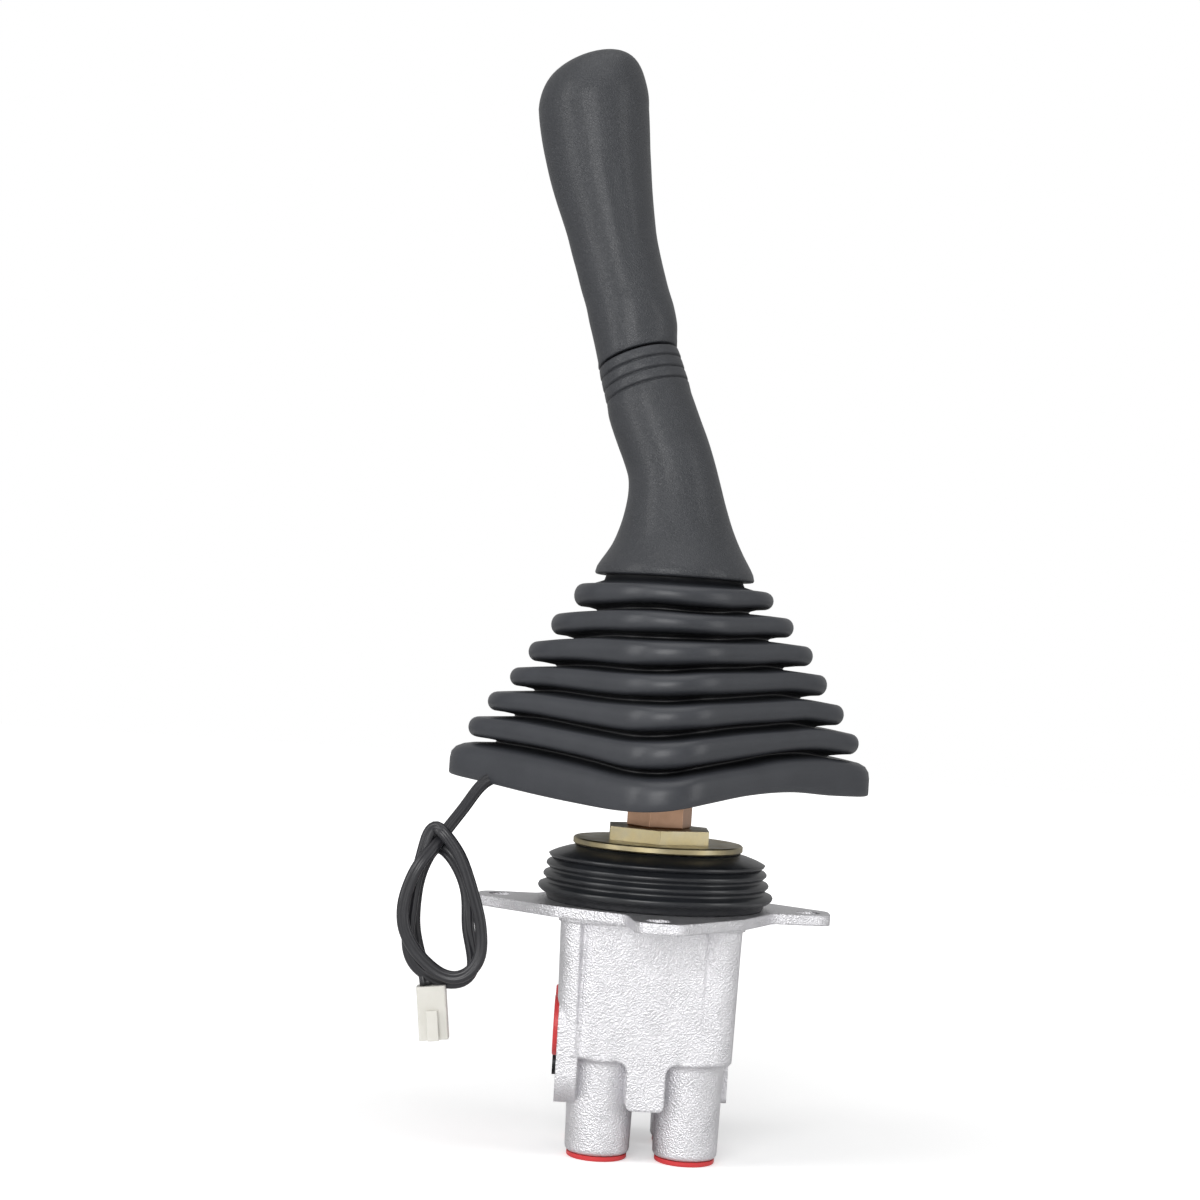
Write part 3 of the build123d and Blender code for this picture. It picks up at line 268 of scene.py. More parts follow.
@dataclass(frozen=True)
class Finish:
    """A surface finish, named for what it is made of.

    Attributes:
        name: Name of the material.
        colour: Base colour, sRGB hex.
        second: Colour that drifts in over the base, sRGB hex.
        roughness: Mean roughness.
        roughness_spread: How far the roughness wanders.
        metallic: 1 for a bare metal.
        pattern: The relief.
        grain_mm: Size of one cell of the relief.
        relief_mm: Height of the relief.
        drift_mm: Size of the colour's blotches.
        coat: Weight of a clear coat or skin.
        subsurface: Weight of light passing through.
        soft_edge_mm: Radius to which the shading rounds the edges, or 0 for none.
        painted_shade_mm: Width of the folds into which shade is painted, darkening the colour, or 0 for
            none.
    """

    name: str
    colour: str
    second: str
    roughness: float
    roughness_spread: float = 0.06
    metallic: float = 0.0
    pattern: Pattern = Pattern.SMOOTH
    grain_mm: float = 0.8
    relief_mm: float = 0.03
    drift_mm: float = 14.0
    coat: float = 0.0
    subsurface: float = 0.0
    soft_edge_mm: float = 0.0
    painted_shade_mm: float = 0.0

    def build(self) -> Material:
        """Make the material's node tree.

        Returns:
            The material.
        """
        material = bpy.data.materials.new(self.name)
        tree = empty_tree(material)
        place = add_node(tree, "TexCoord").outputs["Object"]
        drift = add_node(tree, "TexNoise", {"noise_dimensions": "3D"}, {
            "Vector": place, "Scale": per_mm(self.drift_mm), "Detail": 5.0,
            "Roughness": 0.6}).outputs["Fac"]
        gloss = add_node(tree, "MapRange", {}, {
            "Value": drift, "From Min": GLOSS_DRIFT[0], "From Max": GLOSS_DRIFT[1],
            "To Min": self.roughness - self.roughness_spread,
            "To Max": self.roughness + self.roughness_spread})
        shader = add_node(tree, "BsdfPrincipled", {}, {
            "Base Color": self._base(tree, drift), "Roughness": gloss.outputs["Result"],
            "Metallic": self.metallic, "Coat Weight": self.coat, "Coat Roughness": COAT_ROUGHNESS})
        if self.subsurface:
            shader.inputs["Subsurface Weight"].default_value = self.subsurface
            shader.inputs["Subsurface Radius"].default_value = (LIGHT_DEPTH_MM * MM,) * 3
            shader.inputs["Subsurface Scale"].default_value = 1.0
        height = self._relief(tree, place)
        bump = add_node(tree, "Bump", {}, {
            "Height": height, "Strength": 1.0, "Distance": self.relief_mm * MM})
        if self.soft_edge_mm:
            soft = add_node(tree, "Bevel", {"samples": 6}, {"Radius": self.soft_edge_mm * MM})
            tree.links.new(soft.outputs["Normal"], bump.inputs["Normal"])
        tree.links.new(bump.outputs["Normal"], shader.inputs["Normal"])
        out = add_node(tree, "OutputMaterial")
        tree.links.new(shader.outputs["BSDF"], out.inputs["Surface"])
        return material

    def _base(self, tree: NodeTree, drift: NodeSocket) -> NodeSocket:
        """Make the base colour, drifting between two tones, with shade painted into the folds.

        Args:
            tree: The material's tree.
            drift: The noise that the colour follows.

        Returns:
            The socket that holds the colour.
        """
        colour = add_node(tree, "ValToRGB", {}, {"Fac": drift})
        tones = (linear(self.second), linear(self.colour))
        for element, position, tone in zip(colour.color_ramp.elements, COLOUR_DRIFT, tones):
            element.position = position
            element.color = tone
        if not self.painted_shade_mm:
            return colour.outputs["Color"]
        # Painted shade: the colour darkens where little open space is found round a point, as in the folds.
        open_share = add_node(tree, "AmbientOcclusion", {"samples": 8}, {
            "Distance": self.painted_shade_mm * MM})
        shade = add_node(tree, "MapRange", {}, {
            "Value": open_share.outputs["AO"], "From Min": PAINTED_SHADE_OPEN[0], "From Max": PAINTED_SHADE_OPEN[1],
            "To Min": PAINTED_SHADE_DARKEST, "To Max": 1.0})
        return add_node(tree, "VectorMath", {"operation": "SCALE"}, {
            0: colour.outputs["Color"], "Scale": shade.outputs["Result"]}).outputs["Vector"]

    def _relief(self, tree: NodeTree, place: NodeSocket) -> NodeSocket:
        """Make the height pattern of the surface.

        Args:
            tree: The material's tree.
            place: Object coordinates.

        Returns:
            The socket that holds the height, from 0 to 1.
        """
        scale = per_mm(self.grain_mm)
        if self.pattern is Pattern.GRAIN:
            # pebbles with creases between them, broken up so that no cell repeats
            warp = add_node(tree, "TexNoise", {}, {
                "Vector": place, "Scale": scale * 0.5, "Detail": 2.0})
            moved = add_node(tree, "VectorMath", {"operation": "MULTIPLY_ADD"}, {
                0: warp.outputs["Color"], 1: (self.grain_mm * MM * 0.8,) * 3, 2: place})
            cells = add_node(tree, "TexVoronoi", {"feature": "DISTANCE_TO_EDGE"}, {
                "Vector": moved.outputs["Vector"], "Scale": scale})
            crease = add_node(tree, "MapRange", {"interpolation_type": "SMOOTHSTEP"}, {
                "Value": cells.outputs["Distance"], "From Min": 0.0, "From Max": 0.22})
            return crease.outputs["Result"]
        if self.pattern is Pattern.CAST:
            coarse = add_node(tree, "TexNoise", {}, {
                "Vector": place, "Scale": scale, "Detail": 4.0, "Roughness": 0.65})
            pits = add_node(tree, "TexVoronoi", {"feature": "SMOOTH_F1"}, {
                "Vector": place, "Scale": scale * 1.4, "Smoothness": 0.4})
            both = add_node(tree, "Math", {"operation": "MULTIPLY_ADD"}, {
                0: pits.outputs["Distance"], 1: 0.7, 2: coarse.outputs["Fac"]})
            return both.outputs["Value"]
        if self.pattern is Pattern.TURNED:
            rings = add_node(tree, "TexWave", {"wave_type": "RINGS", "rings_direction": "Z"}, {
                "Vector": place, "Scale": scale * RING_SCALE, "Distortion": 0.6, "Detail": 2.0})
            return rings.outputs["Fac"]
        fine = add_node(tree, "TexNoise", {}, {
            "Vector": place, "Scale": scale, "Detail": 3.0, "Roughness": 0.55})
        return fine.outputs["Fac"]


# Soft PVC over a steel tube: dark slate, satin, pressed with a fine leather grain.
SOFT_GRIP = Finish(
    "soft_pvc_grip", "#2f3135", "#2b2d31", 0.41, 0.04, pattern=Pattern.GRAIN, grain_mm=0.9,
    relief_mm=0.09, coat=0.06)
# Moulded chloroprene bellows: the same slate, smoother, a dull shine on its rolls and shade painted into its
# folds.
BELLOWS = Finish(
    "chloroprene_bellows", "#313338", "#2d2f34", 0.42, 0.05, grain_mm=0.6, relief_mm=0.035, coat=0.05,
    painted_shade_mm=9.0)
# Nitrile boot, near black, smooth and glossier than the bellows.
SMALL_BOOT = Finish(
    "nitrile_boot", "#1d1f23", "#17191c", 0.36, 0.05, grain_mm=0.8, relief_mm=0.012, coat=0.12)
SEAL_RUBBER = Finish("nitrile_seal", "#151618", "#101113", 0.45)
# Sand-cast aluminium, shot blasted: bright and rough, its edges rounded by the mould.
CAST_ALUMINIUM = Finish(
    "cast_aluminium", "#e3e2e5", "#d9d8db", 0.35, 0.05, metallic=0.92, pattern=Pattern.CAST,
    grain_mm=0.9, relief_mm=0.36, drift_mm=9.0, soft_edge_mm=1.3)
# Zinc plated steel, one passivated yellow and one copper red, both drifting a little.
ZINC_YELLOW = Finish(
    "yellow_zinc_steel", "#b8ab86", "#a39a80", 0.36, 0.08, metallic=1.0, pattern=Pattern.TURNED,
    grain_mm=0.35, relief_mm=0.004, drift_mm=7.0, soft_edge_mm=0.25)
ZINC_COPPER = Finish(
    "copper_zinc_steel", "#d0a88c", "#c0997e", 0.35, 0.08, metallic=1.0, pattern=Pattern.TURNED,
    grain_mm=0.35, relief_mm=0.004, drift_mm=7.0, soft_edge_mm=0.25)
GROUND_STEEL = Finish(
    "ground_steel", "#a9abb0", "#9b9da2", 0.28, 0.06, metallic=1.0, pattern=Pattern.TURNED,
    grain_mm=0.3, relief_mm=0.003)
SPRING_STEEL = Finish("oiled_spring_wire", "#6d6f74", "#5c5e63", 0.35, metallic=1.0)
BLACK_STEEL = Finish("blackened_steel", "#2a2b2d", "#222325", 0.42, metallic=0.6)
BRONZE = Finish(
    "machined_bronze", "#a98a5c", "#9a7c50", 0.3, metallic=1.0, pattern=Pattern.TURNED, grain_mm=0.3,
    relief_mm=0.003)
# Polyethylene shipping plug: saturated red, waxy, lets a little light in.
RED_PLASTIC = Finish(
    "red_polyethylene", "#d2393c", "#c93437", 0.4, 0.05, grain_mm=1.5, relief_mm=0.01, subsurface=0.08)
BLACK_PLASTIC = Finish("black_abs", "#1b1c1e", "#17181a", 0.4, grain_mm=0.6, relief_mm=0.015)
# Natural nylon: milky white, lets light in at its edges.
NYLON = Finish(
    "natural_nylon", "#dcdad3", "#d5d3cb", 0.36, 0.05, grain_mm=2.0, relief_mm=0.008, subsurface=0.15,
    soft_edge_mm=0.3)
CORD_PVC = Finish(
    "soft_pvc_lead", "#222226", "#1c1c20", 0.34, 0.06, grain_mm=1.5, relief_mm=0.012, coat=0.1)
TINNED = Finish("tinned_brass", "#cfccc2", "#c3c0b6", 0.3, metallic=1.0)

WEARERS: dict[Finish, tuple[str, ...]] = {
    CAST_ALUMINIUM: ("casing",),
    GROUND_STEEL: ("retainer_plate", "lower_yoke", "joint_cross", "upper_yoke", "pusher",
                   "spring_seat", "spool", "shim"),
    BRONZE: ("pusher_guides",),
    SEAL_RUBBER: ("guide_o_rings", "pusher_seals", "cord_grommet"),
    RED_PLASTIC: ("port_plugs", "side_port_plugs", "horn_button"),
    BLACK_STEEL: ("gallery_plug", "lever_tube"),
    ZINC_YELLOW: ("cam",),
    ZINC_COPPER: ("lock_nut", "lever_socket"),
    BLACK_PLASTIC: ("button_bezel", "button_switch"),
    SPRING_STEEL: ("button_spring", "return_spring", "balance_spring"),
    NYLON: ("connector_housing",),
    TINNED: ("connector_terminals",),
}
NODE_FINISHES = {name: finish for finish, names in WEARERS.items() for name in names}


class FinishShelf:
    """Keeps one material for each finish."""

    def __init__(self) -> None:
        """Start with no materials made."""
        self._made: dict[str, Material] = {}

    def take(self, finish: Finish) -> Material:
        """Give the finish's material, made on first use."""
        if finish.name not in self._made:
            self._made[finish.name] = finish.build()
        return self._made[finish.name]


# ---- mesh helpers
def finish_object(name: str, mesh: BMesh, material: Material) -> Object:
    """Turn a bmesh into a smooth-shaded object at the origin.

    Args:
        name: The object's name.
        mesh: The bmesh, in metres, freed here.
        material: Its finish.

    Returns:
        The object.
    """
    bmesh.ops.remove_doubles(mesh, verts=mesh.verts, dist=1e-6)
    bmesh.ops.recalc_face_normals(mesh, faces=mesh.faces)
    for face in mesh.faces:
        face.smooth = True
    data = bpy.data.meshes.new(name)
    mesh.to_mesh(data)
    mesh.free()
    data.materials.append(material)
    LOG.info("made %s", name)
    return show(name, data)


def ring_edges(loop: Iterable[BMVert]) -> list[BMEdge]:
    """Edges that join neighbours of one ring."""
    members = set(loop)
    edges = {edge for vert in members for edge in vert.link_edges
             if edge.verts[0] in members and edge.verts[1] in members}
    return list(edges)


class RingSkin:
    """A skin grown ring by ring: each ring is extruded from the last and then placed."""

    def __init__(self, segments: int) -> None:
        """Start an empty skin.

        Args:
            segments: Points in each ring.
        """
        self.mesh = bmesh.new()
        self.segments = segments
        self.ring: list[BMVert] = []
        self.angles: list[float] = []

    def grow(self, place: Callable[[float], Vector]) -> None:
        """Add a ring.

        Args:
            place: Gives the point, in metres, at an angle in radians.
        """
        if not self.ring:
            made = bmesh.ops.create_circle(self.mesh, segments=self.segments, radius=1.0)
            self.ring = sorted(made["verts"], key=lambda v: math.atan2(v.co.y, v.co.x) % math.tau)
            self.angles = [math.atan2(v.co.y, v.co.x) for v in self.ring]
        else:
            made = bmesh.ops.extrude_edge_only(self.mesh, edges=ring_edges(self.ring))
            new = {item for item in made["geom"] if isinstance(item, BMVert)}
            self.ring = [next(edge.other_vert(old) for edge in old.link_edges
                              if edge.other_vert(old) in new) for old in self.ring]
        for vert, angle in zip(self.ring, self.angles):
            vert.co = place(angle)

    def cap(self, rings: int = 3) -> None:
        """Close the last ring with a few rings that shrink to its middle.

        Args:
            rings: Rings between the edge and the middle.
        """
        middle = sum((v.co for v in self.ring), Vector()) / len(self.ring)
        edge = [v.co.copy() for v in self.ring]
        for step in range(1, rings):
            share = 1 - step / rings
            points = {angle: middle + (co - middle) * share for angle, co in zip(self.angles, edge)}
            self.grow(points.__getitem__)
        bmesh.ops.contextual_create(self.mesh, geom=ring_edges(self.ring))


# ---- handle
@dataclass
class Handle:
    """The bent handle: a flared neck with three grooves, and a palm-shaped grip.

    Attributes:
        base: Height of the neck's foot.
        azimuth: Direction of the lean, in degrees from +X.
        joint: Height of the joint above the foot, and its offset.
        lean: Lean of the handle at the joint, in degrees.
        collar: Radius of the neck at the joint, and how much it gains per length downward.
        plug: Radius inside the joint.
        groove_count: Number of grooves.
        groove_pitch: Distance between the grooves.
        groove_depth: Depth of a groove.
        neck_end: Height above the foot at which the grooves' stretch begins.
        crease_depth: Depth of the soft crease on the grip's front.
        flat_depth: How far the grip's section departs from round.
        heel_swell: How far the grip's heel stands out on the right.
        segments: Points round the handle.
        neck: Height above the foot, offset, tilt and radius of the neck's sections.
        grip: The same of the grip's sections, above the joint and from its offset.
        dome: Radius and height of the rounded top, and how far its peak stands back.
    """

    base: float
    azimuth: float = 150.0
    joint: tuple[float, float] = (85.0, 22.0)
    lean: float = 22.0
    collar: tuple[float, float] = (16.1, 0.03)
    plug: float = 12.4
    groove_count: int = 3
    groove_pitch: float = 4.7
    groove_depth: float = 1.1
    neck_end: float = 67.0
    crease_depth: float = 0.45
    flat_depth: float = 0.5
    heel_swell: float = 1.1
    segments: int = 96
    neck: tuple[Row, ...] = (
        (0.0, 0.0, 0.0, 30.6), (3.0, 0.0, 0.0, 30.1), (11.5, -0.2, 0.0, 25.1),
        (19.2, 0.4, 1.0, 21.8), (27.2, 1.4, 5.0, 19.4), (34.9, 2.6, 11.0, 17.8),
        (42.3, 4.4, 17.0, 16.9), (49.2, 7.2, 21.0, 16.8), (55.4, 10.2, 22.0, 16.8),
        (64.0, 14.2, 21.5, 16.8), (71.0, 17.1, 21.0, 16.5),
    )
    grip: tuple[Row, ...] = (
        (0.8, 0.1, 22.0, 15.8), (4.0, 0.9, 20.5, 15.9), (10.2, 2.3, 18.0, 16.3),
        (17.2, 4.2, 18.0, 16.6), (24.1, 6.6, 19.0, 16.35), (31.0, 9.2, 19.5, 16.5),
        (38.0, 11.6, 19.0, 16.6), (45.0, 13.95, 18.0, 16.9), (52.1, 15.95, 16.5, 17.4),
        (59.2, 18.1, 16.0, 18.2), (66.3, 20.2, 15.5, 19.1), (73.4, 22.1, 14.0, 19.95),
        (80.6, 23.8, 12.5, 20.6), (87.8, 25.3, 10.5, 21.25), (95.1, 26.6, 8.0, 21.75),
        (99.8, 27.3, 5.0, 21.9),
    )
    dome: Point = (21.9, 22.8, 7.6)

    def frame_at(self, offset: float, height: float, tilt: float) -> Matrix:
        """Frame of a cross-section: X across the lean, Z along the handle."""
        lean = math.radians(self.azimuth)
        towards = Vector((math.cos(lean), math.sin(lean), 0))
        across = Vector((-towards.y, towards.x, 0))
        angle = math.radians(tilt)
        along = towards * math.sin(angle) + Vector((0, 0, math.cos(angle)))
        frame = Matrix((across, along.cross(across), along)).transposed().to_4x4()
        frame.translation = (towards * offset + Vector((0, 0, self.base + height))) * MM
        return frame

    def ring(self, skin: RingSkin, offset: float, height: float, tilt: float, radius: float,
             lift: float = 0.0, shape: Callable[[float], float] | None = None) -> None:
        """Grow one cross-section of the handle.

        Args:
            skin: The skin that grows.
            offset: Of the section's centre, along the lean.
            height: Of the centre above the foot.
            tilt: Of the section.
            radius: Of the section.
            lift: Of the ring above its own section plane.
            shape: Added radius at a compass direction, in radians.
        """
        frame = self.frame_at(offset, height, tilt)

        def place(angle: float) -> Vector:
            """Point of the section at an angle, in metres."""
            spoke = Vector((math.cos(angle), math.sin(angle), 0))
            reach = radius
            if shape:
                world = frame.to_3x3() @ spoke
                reach += shape(math.atan2(world.y, world.x))
            return frame @ Vector((reach * spoke.x * MM, reach * spoke.y * MM, lift * MM))

        skin.grow(place)

    def along_joint(self, skin: RingSkin, distance: float, radius: float) -> None:
        """Grow a ring at a distance along the handle from the joint."""
        tilt = math.radians(self.lean - 1.0)
        self.ring(skin, self.joint[1] + distance * math.sin(tilt),
                  self.joint[0] + distance * math.cos(tilt), self.lean, radius)

    def make_neck(self, material: Material) -> Object:
        """Model the neck, from the rolled foot to the joint.

        Args:
            material: The finish.

        Returns:
            The neck.
        """
        skin = RingSkin(self.segments)
        foot = self.neck[0][3]
        hollow = foot - 4.0
        rolled_foot = ((hollow, 4.8), (hollow, 0.5), (hollow + 0.3, 0.05), (foot - 1.0, 0.05),
                       (foot - 0.3, 0.25), (foot, 0.9))
        for radius, lift in rolled_foot:
            self.ring(skin, 0.0, 0.0, 0.0, radius, lift)
        steps, start = 44, 1.6
        for k in range(1, steps + 1):
            height = mix(start, self.neck_end, k / steps)
            offset, tilt, radius = through(self.neck, height)
            self.ring(skin, offset, height, tilt, radius)
        groove_shape = ((-1.1, 0.0), (-0.6, 0.1), (-0.42, self.groove_depth),
                        (0.28, self.groove_depth), (0.42, 0.1), (0.9, 0.0))
        collar, taper = self.collar
        for groove in range(self.groove_count, 0, -1):
            distance = -groove * self.groove_pitch
            for shift, depth in groove_shape:
                self.along_joint(skin, distance + shift, collar - taper * distance - depth)
        rounded_end = ((-1.6, collar - 0.1), (-0.9, collar - 0.2), (-0.5, collar - 0.5),
                       (-0.4, collar - 1.3), (-0.4, self.plug), (3.8, self.plug))
        for shift, radius in rounded_end:
            self.along_joint(skin, shift, radius)
        skin.cap(2)
        return finish_object("handle_neck", skin.mesh, material)

    def grip_shape(self, height: float) -> Callable[[float], float]:
        """Departure of the grip from round at a height above the joint.

        Args:
            height: Above the joint.

        Returns:
            A function of the compass direction, in millimetres.
        """
        crease = self.crease_depth * smooth(20, 34, height) * (1 - smooth(66, 84, height))
        flat = self.flat_depth * smooth(6, 20, height) * (1 - smooth(84, 104, height))
        swell = self.heel_swell * math.exp(-((height - 9.0) / 7.0) ** 2)
        front_way, right_way = math.radians(-79), math.radians(-28)
        crease_width, swell_width = 0.13, 0.55

        def shape(direction: float) -> float:
            """Added radius at a compass direction."""
            front = math.remainder(direction - front_way, math.tau)
            right = math.remainder(direction - right_way, math.tau)
            dent = crease * math.exp(-(front / crease_width) ** 2)
            facets = flat * math.cos(4 * (front - math.pi / 4))
            return swell * math.exp(-(right / swell_width) ** 2) - dent - 0.5 * facets

        return shape

    def make_grip(self, material: Material) -> Object:
        """Model the grip, from the joint to its domed top.

        Args:
            material: The finish.

        Returns:
            The grip.
        """
        skin = RingSkin(self.segments)
        bore = self.plug + 0.3
        rounded_start = ((4.3, bore), (0.4, bore), (0.4, 15.0), (0.5, 15.6), (0.8, 15.95))
        for distance, radius in rounded_start:
            self.along_joint(skin, distance, radius)
        steps, start = 64, 0.9
        top = self.grip[-1][0]
        for k in range(1, steps + 1):
            height = mix(start, top, k / steps)
            offset, tilt, radius = through(self.grip, height)
            self.ring(skin, self.joint[1] + offset, self.joint[0] + height, tilt, radius,
                      shape=self.grip_shape(height))
        offset, tilt, _ = through(self.grip, top)
        radius, height, back = self.dome
        steps, last_ring = 22, math.radians(88.5)
        for k in range(1, steps + 1):
            rise = math.sin(last_ring * k / steps)
            width = math.cos(last_ring * k / steps)
            self.ring(skin, self.joint[1] + offset - back * rise ** 2.6,
                      self.joint[0] + top + height * rise, tilt * (1 - smooth(0.0, 0.6, rise)),
                      radius * width, shape=self.grip_shape(top + height * rise))
        skin.cap(2)
        return finish_object("handle_grip", skin.mesh, material)


# ---- outer bellows
@dataclass
class OuterBellows:
    """Rounded-square rubber bellows with six rolls, one corner to the operator.

    Attributes:
        top: Height of the handle's foot, under which the bellows hangs.
        tips: Half the diagonal at each roll's tip, from the top down.
        shifts: How far each roll and the lip stand to the right.
        corners: Corner radius at each roll's tip.
        pitch: Distance between the rolls.
        first_drop: From the handle's foot to the first roll.
        half_roll: Half the height of a roll.
        nose: Depth of a roll's rounded nose.
        inset: How far a valley stands in from a roll's tip.
        half_valley: Half the height of a valley's bottom.
        lip: Half the diagonal of the lip.
        collar: Radius of the round collar under the handle's foot.
        wall: Thickness of the rubber.
        segments: Points round the bellows.
        waves: Drop below the top, and the rubber's rise there at eleven places from the
            left corner to the right one.
    """

    top: float
    tips: Row = (38.3, 46.5, 54.5, 60.8, 68.3, 74.9)
    shifts: Row = (0.2, 0.3, 0.3, 0.1, -0.3, -0.5, -1.3)
    corners: Row = (31.0, 29.0, 27.0, 25.0, 22.5, 20.0)
    pitch: float = 10.6
    first_drop: float = 7.4
    half_roll: float = 3.85
    nose: float = 3.4
    inset: float = 11.5
    half_valley: float = 0.55
    lip: float = 80.5
    collar: float = 26.4
    wall: float = 2.4
    segments: int = 160
    waves: tuple[Row, ...] = (
        (0.0, 0.0, 0.0, 0.0, 0.0, 0.0, 0.0, 0.0, 0.0, 0.0, 0.0, 0.0),
        (12.7, -1.8, -0.8, -0.1, 0.3, 0.5, 0.3, 0.1, 0.2, 0.5, 1.4, 1.5),
        (23.3, -2.5, -1.0, -0.1, 0.0, 0.1, 0.3, 0.5, 0.8, 1.4, 2.2, 1.9),
        (33.9, -2.4, -1.4, -1.2, -1.5, -1.5, -0.9, 0.2, 1.0, 1.6, 2.6, 2.0),
        (44.5, -1.6, -0.9, -1.5, -2.0, -1.9, -1.5, -0.2, 0.8, 1.9, 2.8, 1.6),
        (55.1, -1.0, -0.9, -2.0, -3.2, -4.0, -3.1, -1.2, 0.6, 1.8, 3.0, 1.4),
        (65.7, -0.7, -1.3, -2.4, -4.0, -6.0, -5.7, -3.0, -0.6, 1.9, 2.8, 1.2),
        (79.2, -0.6, -2.2, -4.0, -5.3, -6.0, -4.9, -1.7, 1.3, 2.4, 1.2, 0.6),
        (90.0, -0.6, -2.2, -4.0, -5.3, -6.0, -4.9, -1.7, 1.3, 2.4, 1.2, 0.6),
    )

    def radius_at(self, angle: float, diagonal: float, corner: float) -> float:
        """Distance from the axis to a rounded square's edge, its corners on the axes."""
        half = (diagonal - corner) / math.sqrt(2) + corner
        fold = abs(angle % (math.pi / 2) - math.pi / 4)
        straight = half - corner
        if half * math.tan(fold) <= straight:
            return half / math.cos(fold)
        along = straight * (math.cos(fold) + math.sin(fold))
        return along + math.sqrt(along * along - 2 * straight * straight + corner * corner)

    def sag(self, angle: float, level: float, radius: float, diagonal: float) -> float:
        """Height that a point gains or loses from the level of its ring.

        Args:
            angle: Direction of the point.
            level: Height of its ring.
            radius: Distance from the axis.
            diagonal: Half the ring's diagonal.

        Returns:
            The gain, in millimetres.
        """
        rises = through(self.waves, self.top - level)
        last = len(rises) - 1
        across = [(2 * k / last - 1, rise) for k, rise in enumerate(rises)]
        gain = through(across, radius * math.cos(angle) / diagonal)[0]
        return gain * smooth(8.0, 36.0, radius)

    def grow(self, skin: RingSkin, level: float, diagonal: float, corner: float) -> None:
        """Grow one ring of the bellows."""
        drop = (self.top - level - self.first_drop) / self.pitch
        share = min(max(drop, 0.0), len(self.shifts) - 1)
        places = list(enumerate(self.shifts))
        shift = through(places, share)[0] * smooth(-1.0, 0.0, drop)

        def place(angle: float) -> Vector:
            """Point of the ring at an angle, in metres."""
            radius = self.radius_at(angle, diagonal, corner)
            gain = self.sag(angle, level, radius, diagonal)
            return Vector((radius * math.cos(angle) + shift, radius * math.sin(angle),
                           level + gain)) * MM

        skin.grow(place)

    def outline(self) -> list[Point]:
        """Level, half diagonal and corner radius of every ring, from the top down."""
        round_corner = self.collar - 0.1
        rows = [(self.top + 4.0, self.collar, round_corner),
                (self.top - 0.5, self.collar, round_corner),
                (self.top - 2.0, self.collar + 0.6, round_corner + 0.5)]
        half, valley = self.half_roll, self.half_valley
        flank_above, flank_below, flank_step, valley_round = 3.2, 2.4, 0.25, 0.6
        widest_step = 6.0
        for k, (tip, corner) in enumerate(zip(self.tips, self.corners)):
            level = self.top - self.first_drop - k * self.pitch
            rows.append((level + half + flank_step, tip - half - flank_above, corner))
            for turn in range(-80, 81, 16):
                bend = math.radians(turn)
                rows.append((level - half * math.sin(bend),
                             tip - self.nose * (1 - math.cos(bend)), corner))
            following = self.tips[k + 1] if k + 1 < len(self.tips) else self.lip - 2
            deep = max(tip - self.inset, following - self.inset - widest_step)
            middle = level - self.pitch / 2
            rows += [(level - half - flank_step, tip - half - flank_below, corner),
                     (middle + valley, deep + valley_round, corner), (middle, deep, corner),
                     (middle - valley, deep + valley_round, corner)]
        level = self.top - self.first_drop - len(self.tips) * self.pitch
        lip_shape = ((4.3, 8.0), (3.7, 4.6), (2.5, 2.0), (0.6, 0.5), (-2.0, 0.0), (-5.0, 0.0),
                     (-7.4, 0.0))
        rows += [(level + rise, self.lip - inset, self.corners[-1]) for rise, inset in lip_shape]
        return rows

    def make(self, material: Material) -> Object:
        """Model the bellows with its wall.

        Args:
            material: The finish.

        Returns:
            The bellows.
        """
        skin = RingSkin(self.segments)
        rows = self.outline()
        for level, diagonal, corner in rows:
            self.grow(skin, level, diagonal, corner)
        level, diagonal, corner = rows[-1]
        rounded_edge = ((0.55, 0.35), (0.8, 1.2), (0.55, 2.1), (0.0, self.wall))
        for drop, inset in rounded_edge:
            self.grow(skin, level - drop, diagonal - inset, corner - inset)
        for level, diagonal, corner in reversed(rows[:-1]):
            self.grow(skin, level, diagonal - self.wall, corner - self.wall)
        mesh = skin.mesh
        bmesh.ops.bridge_loops(mesh, edges=[e for e in mesh.edges if e.is_boundary])
        return finish_object("bellows_outer", mesh, material)


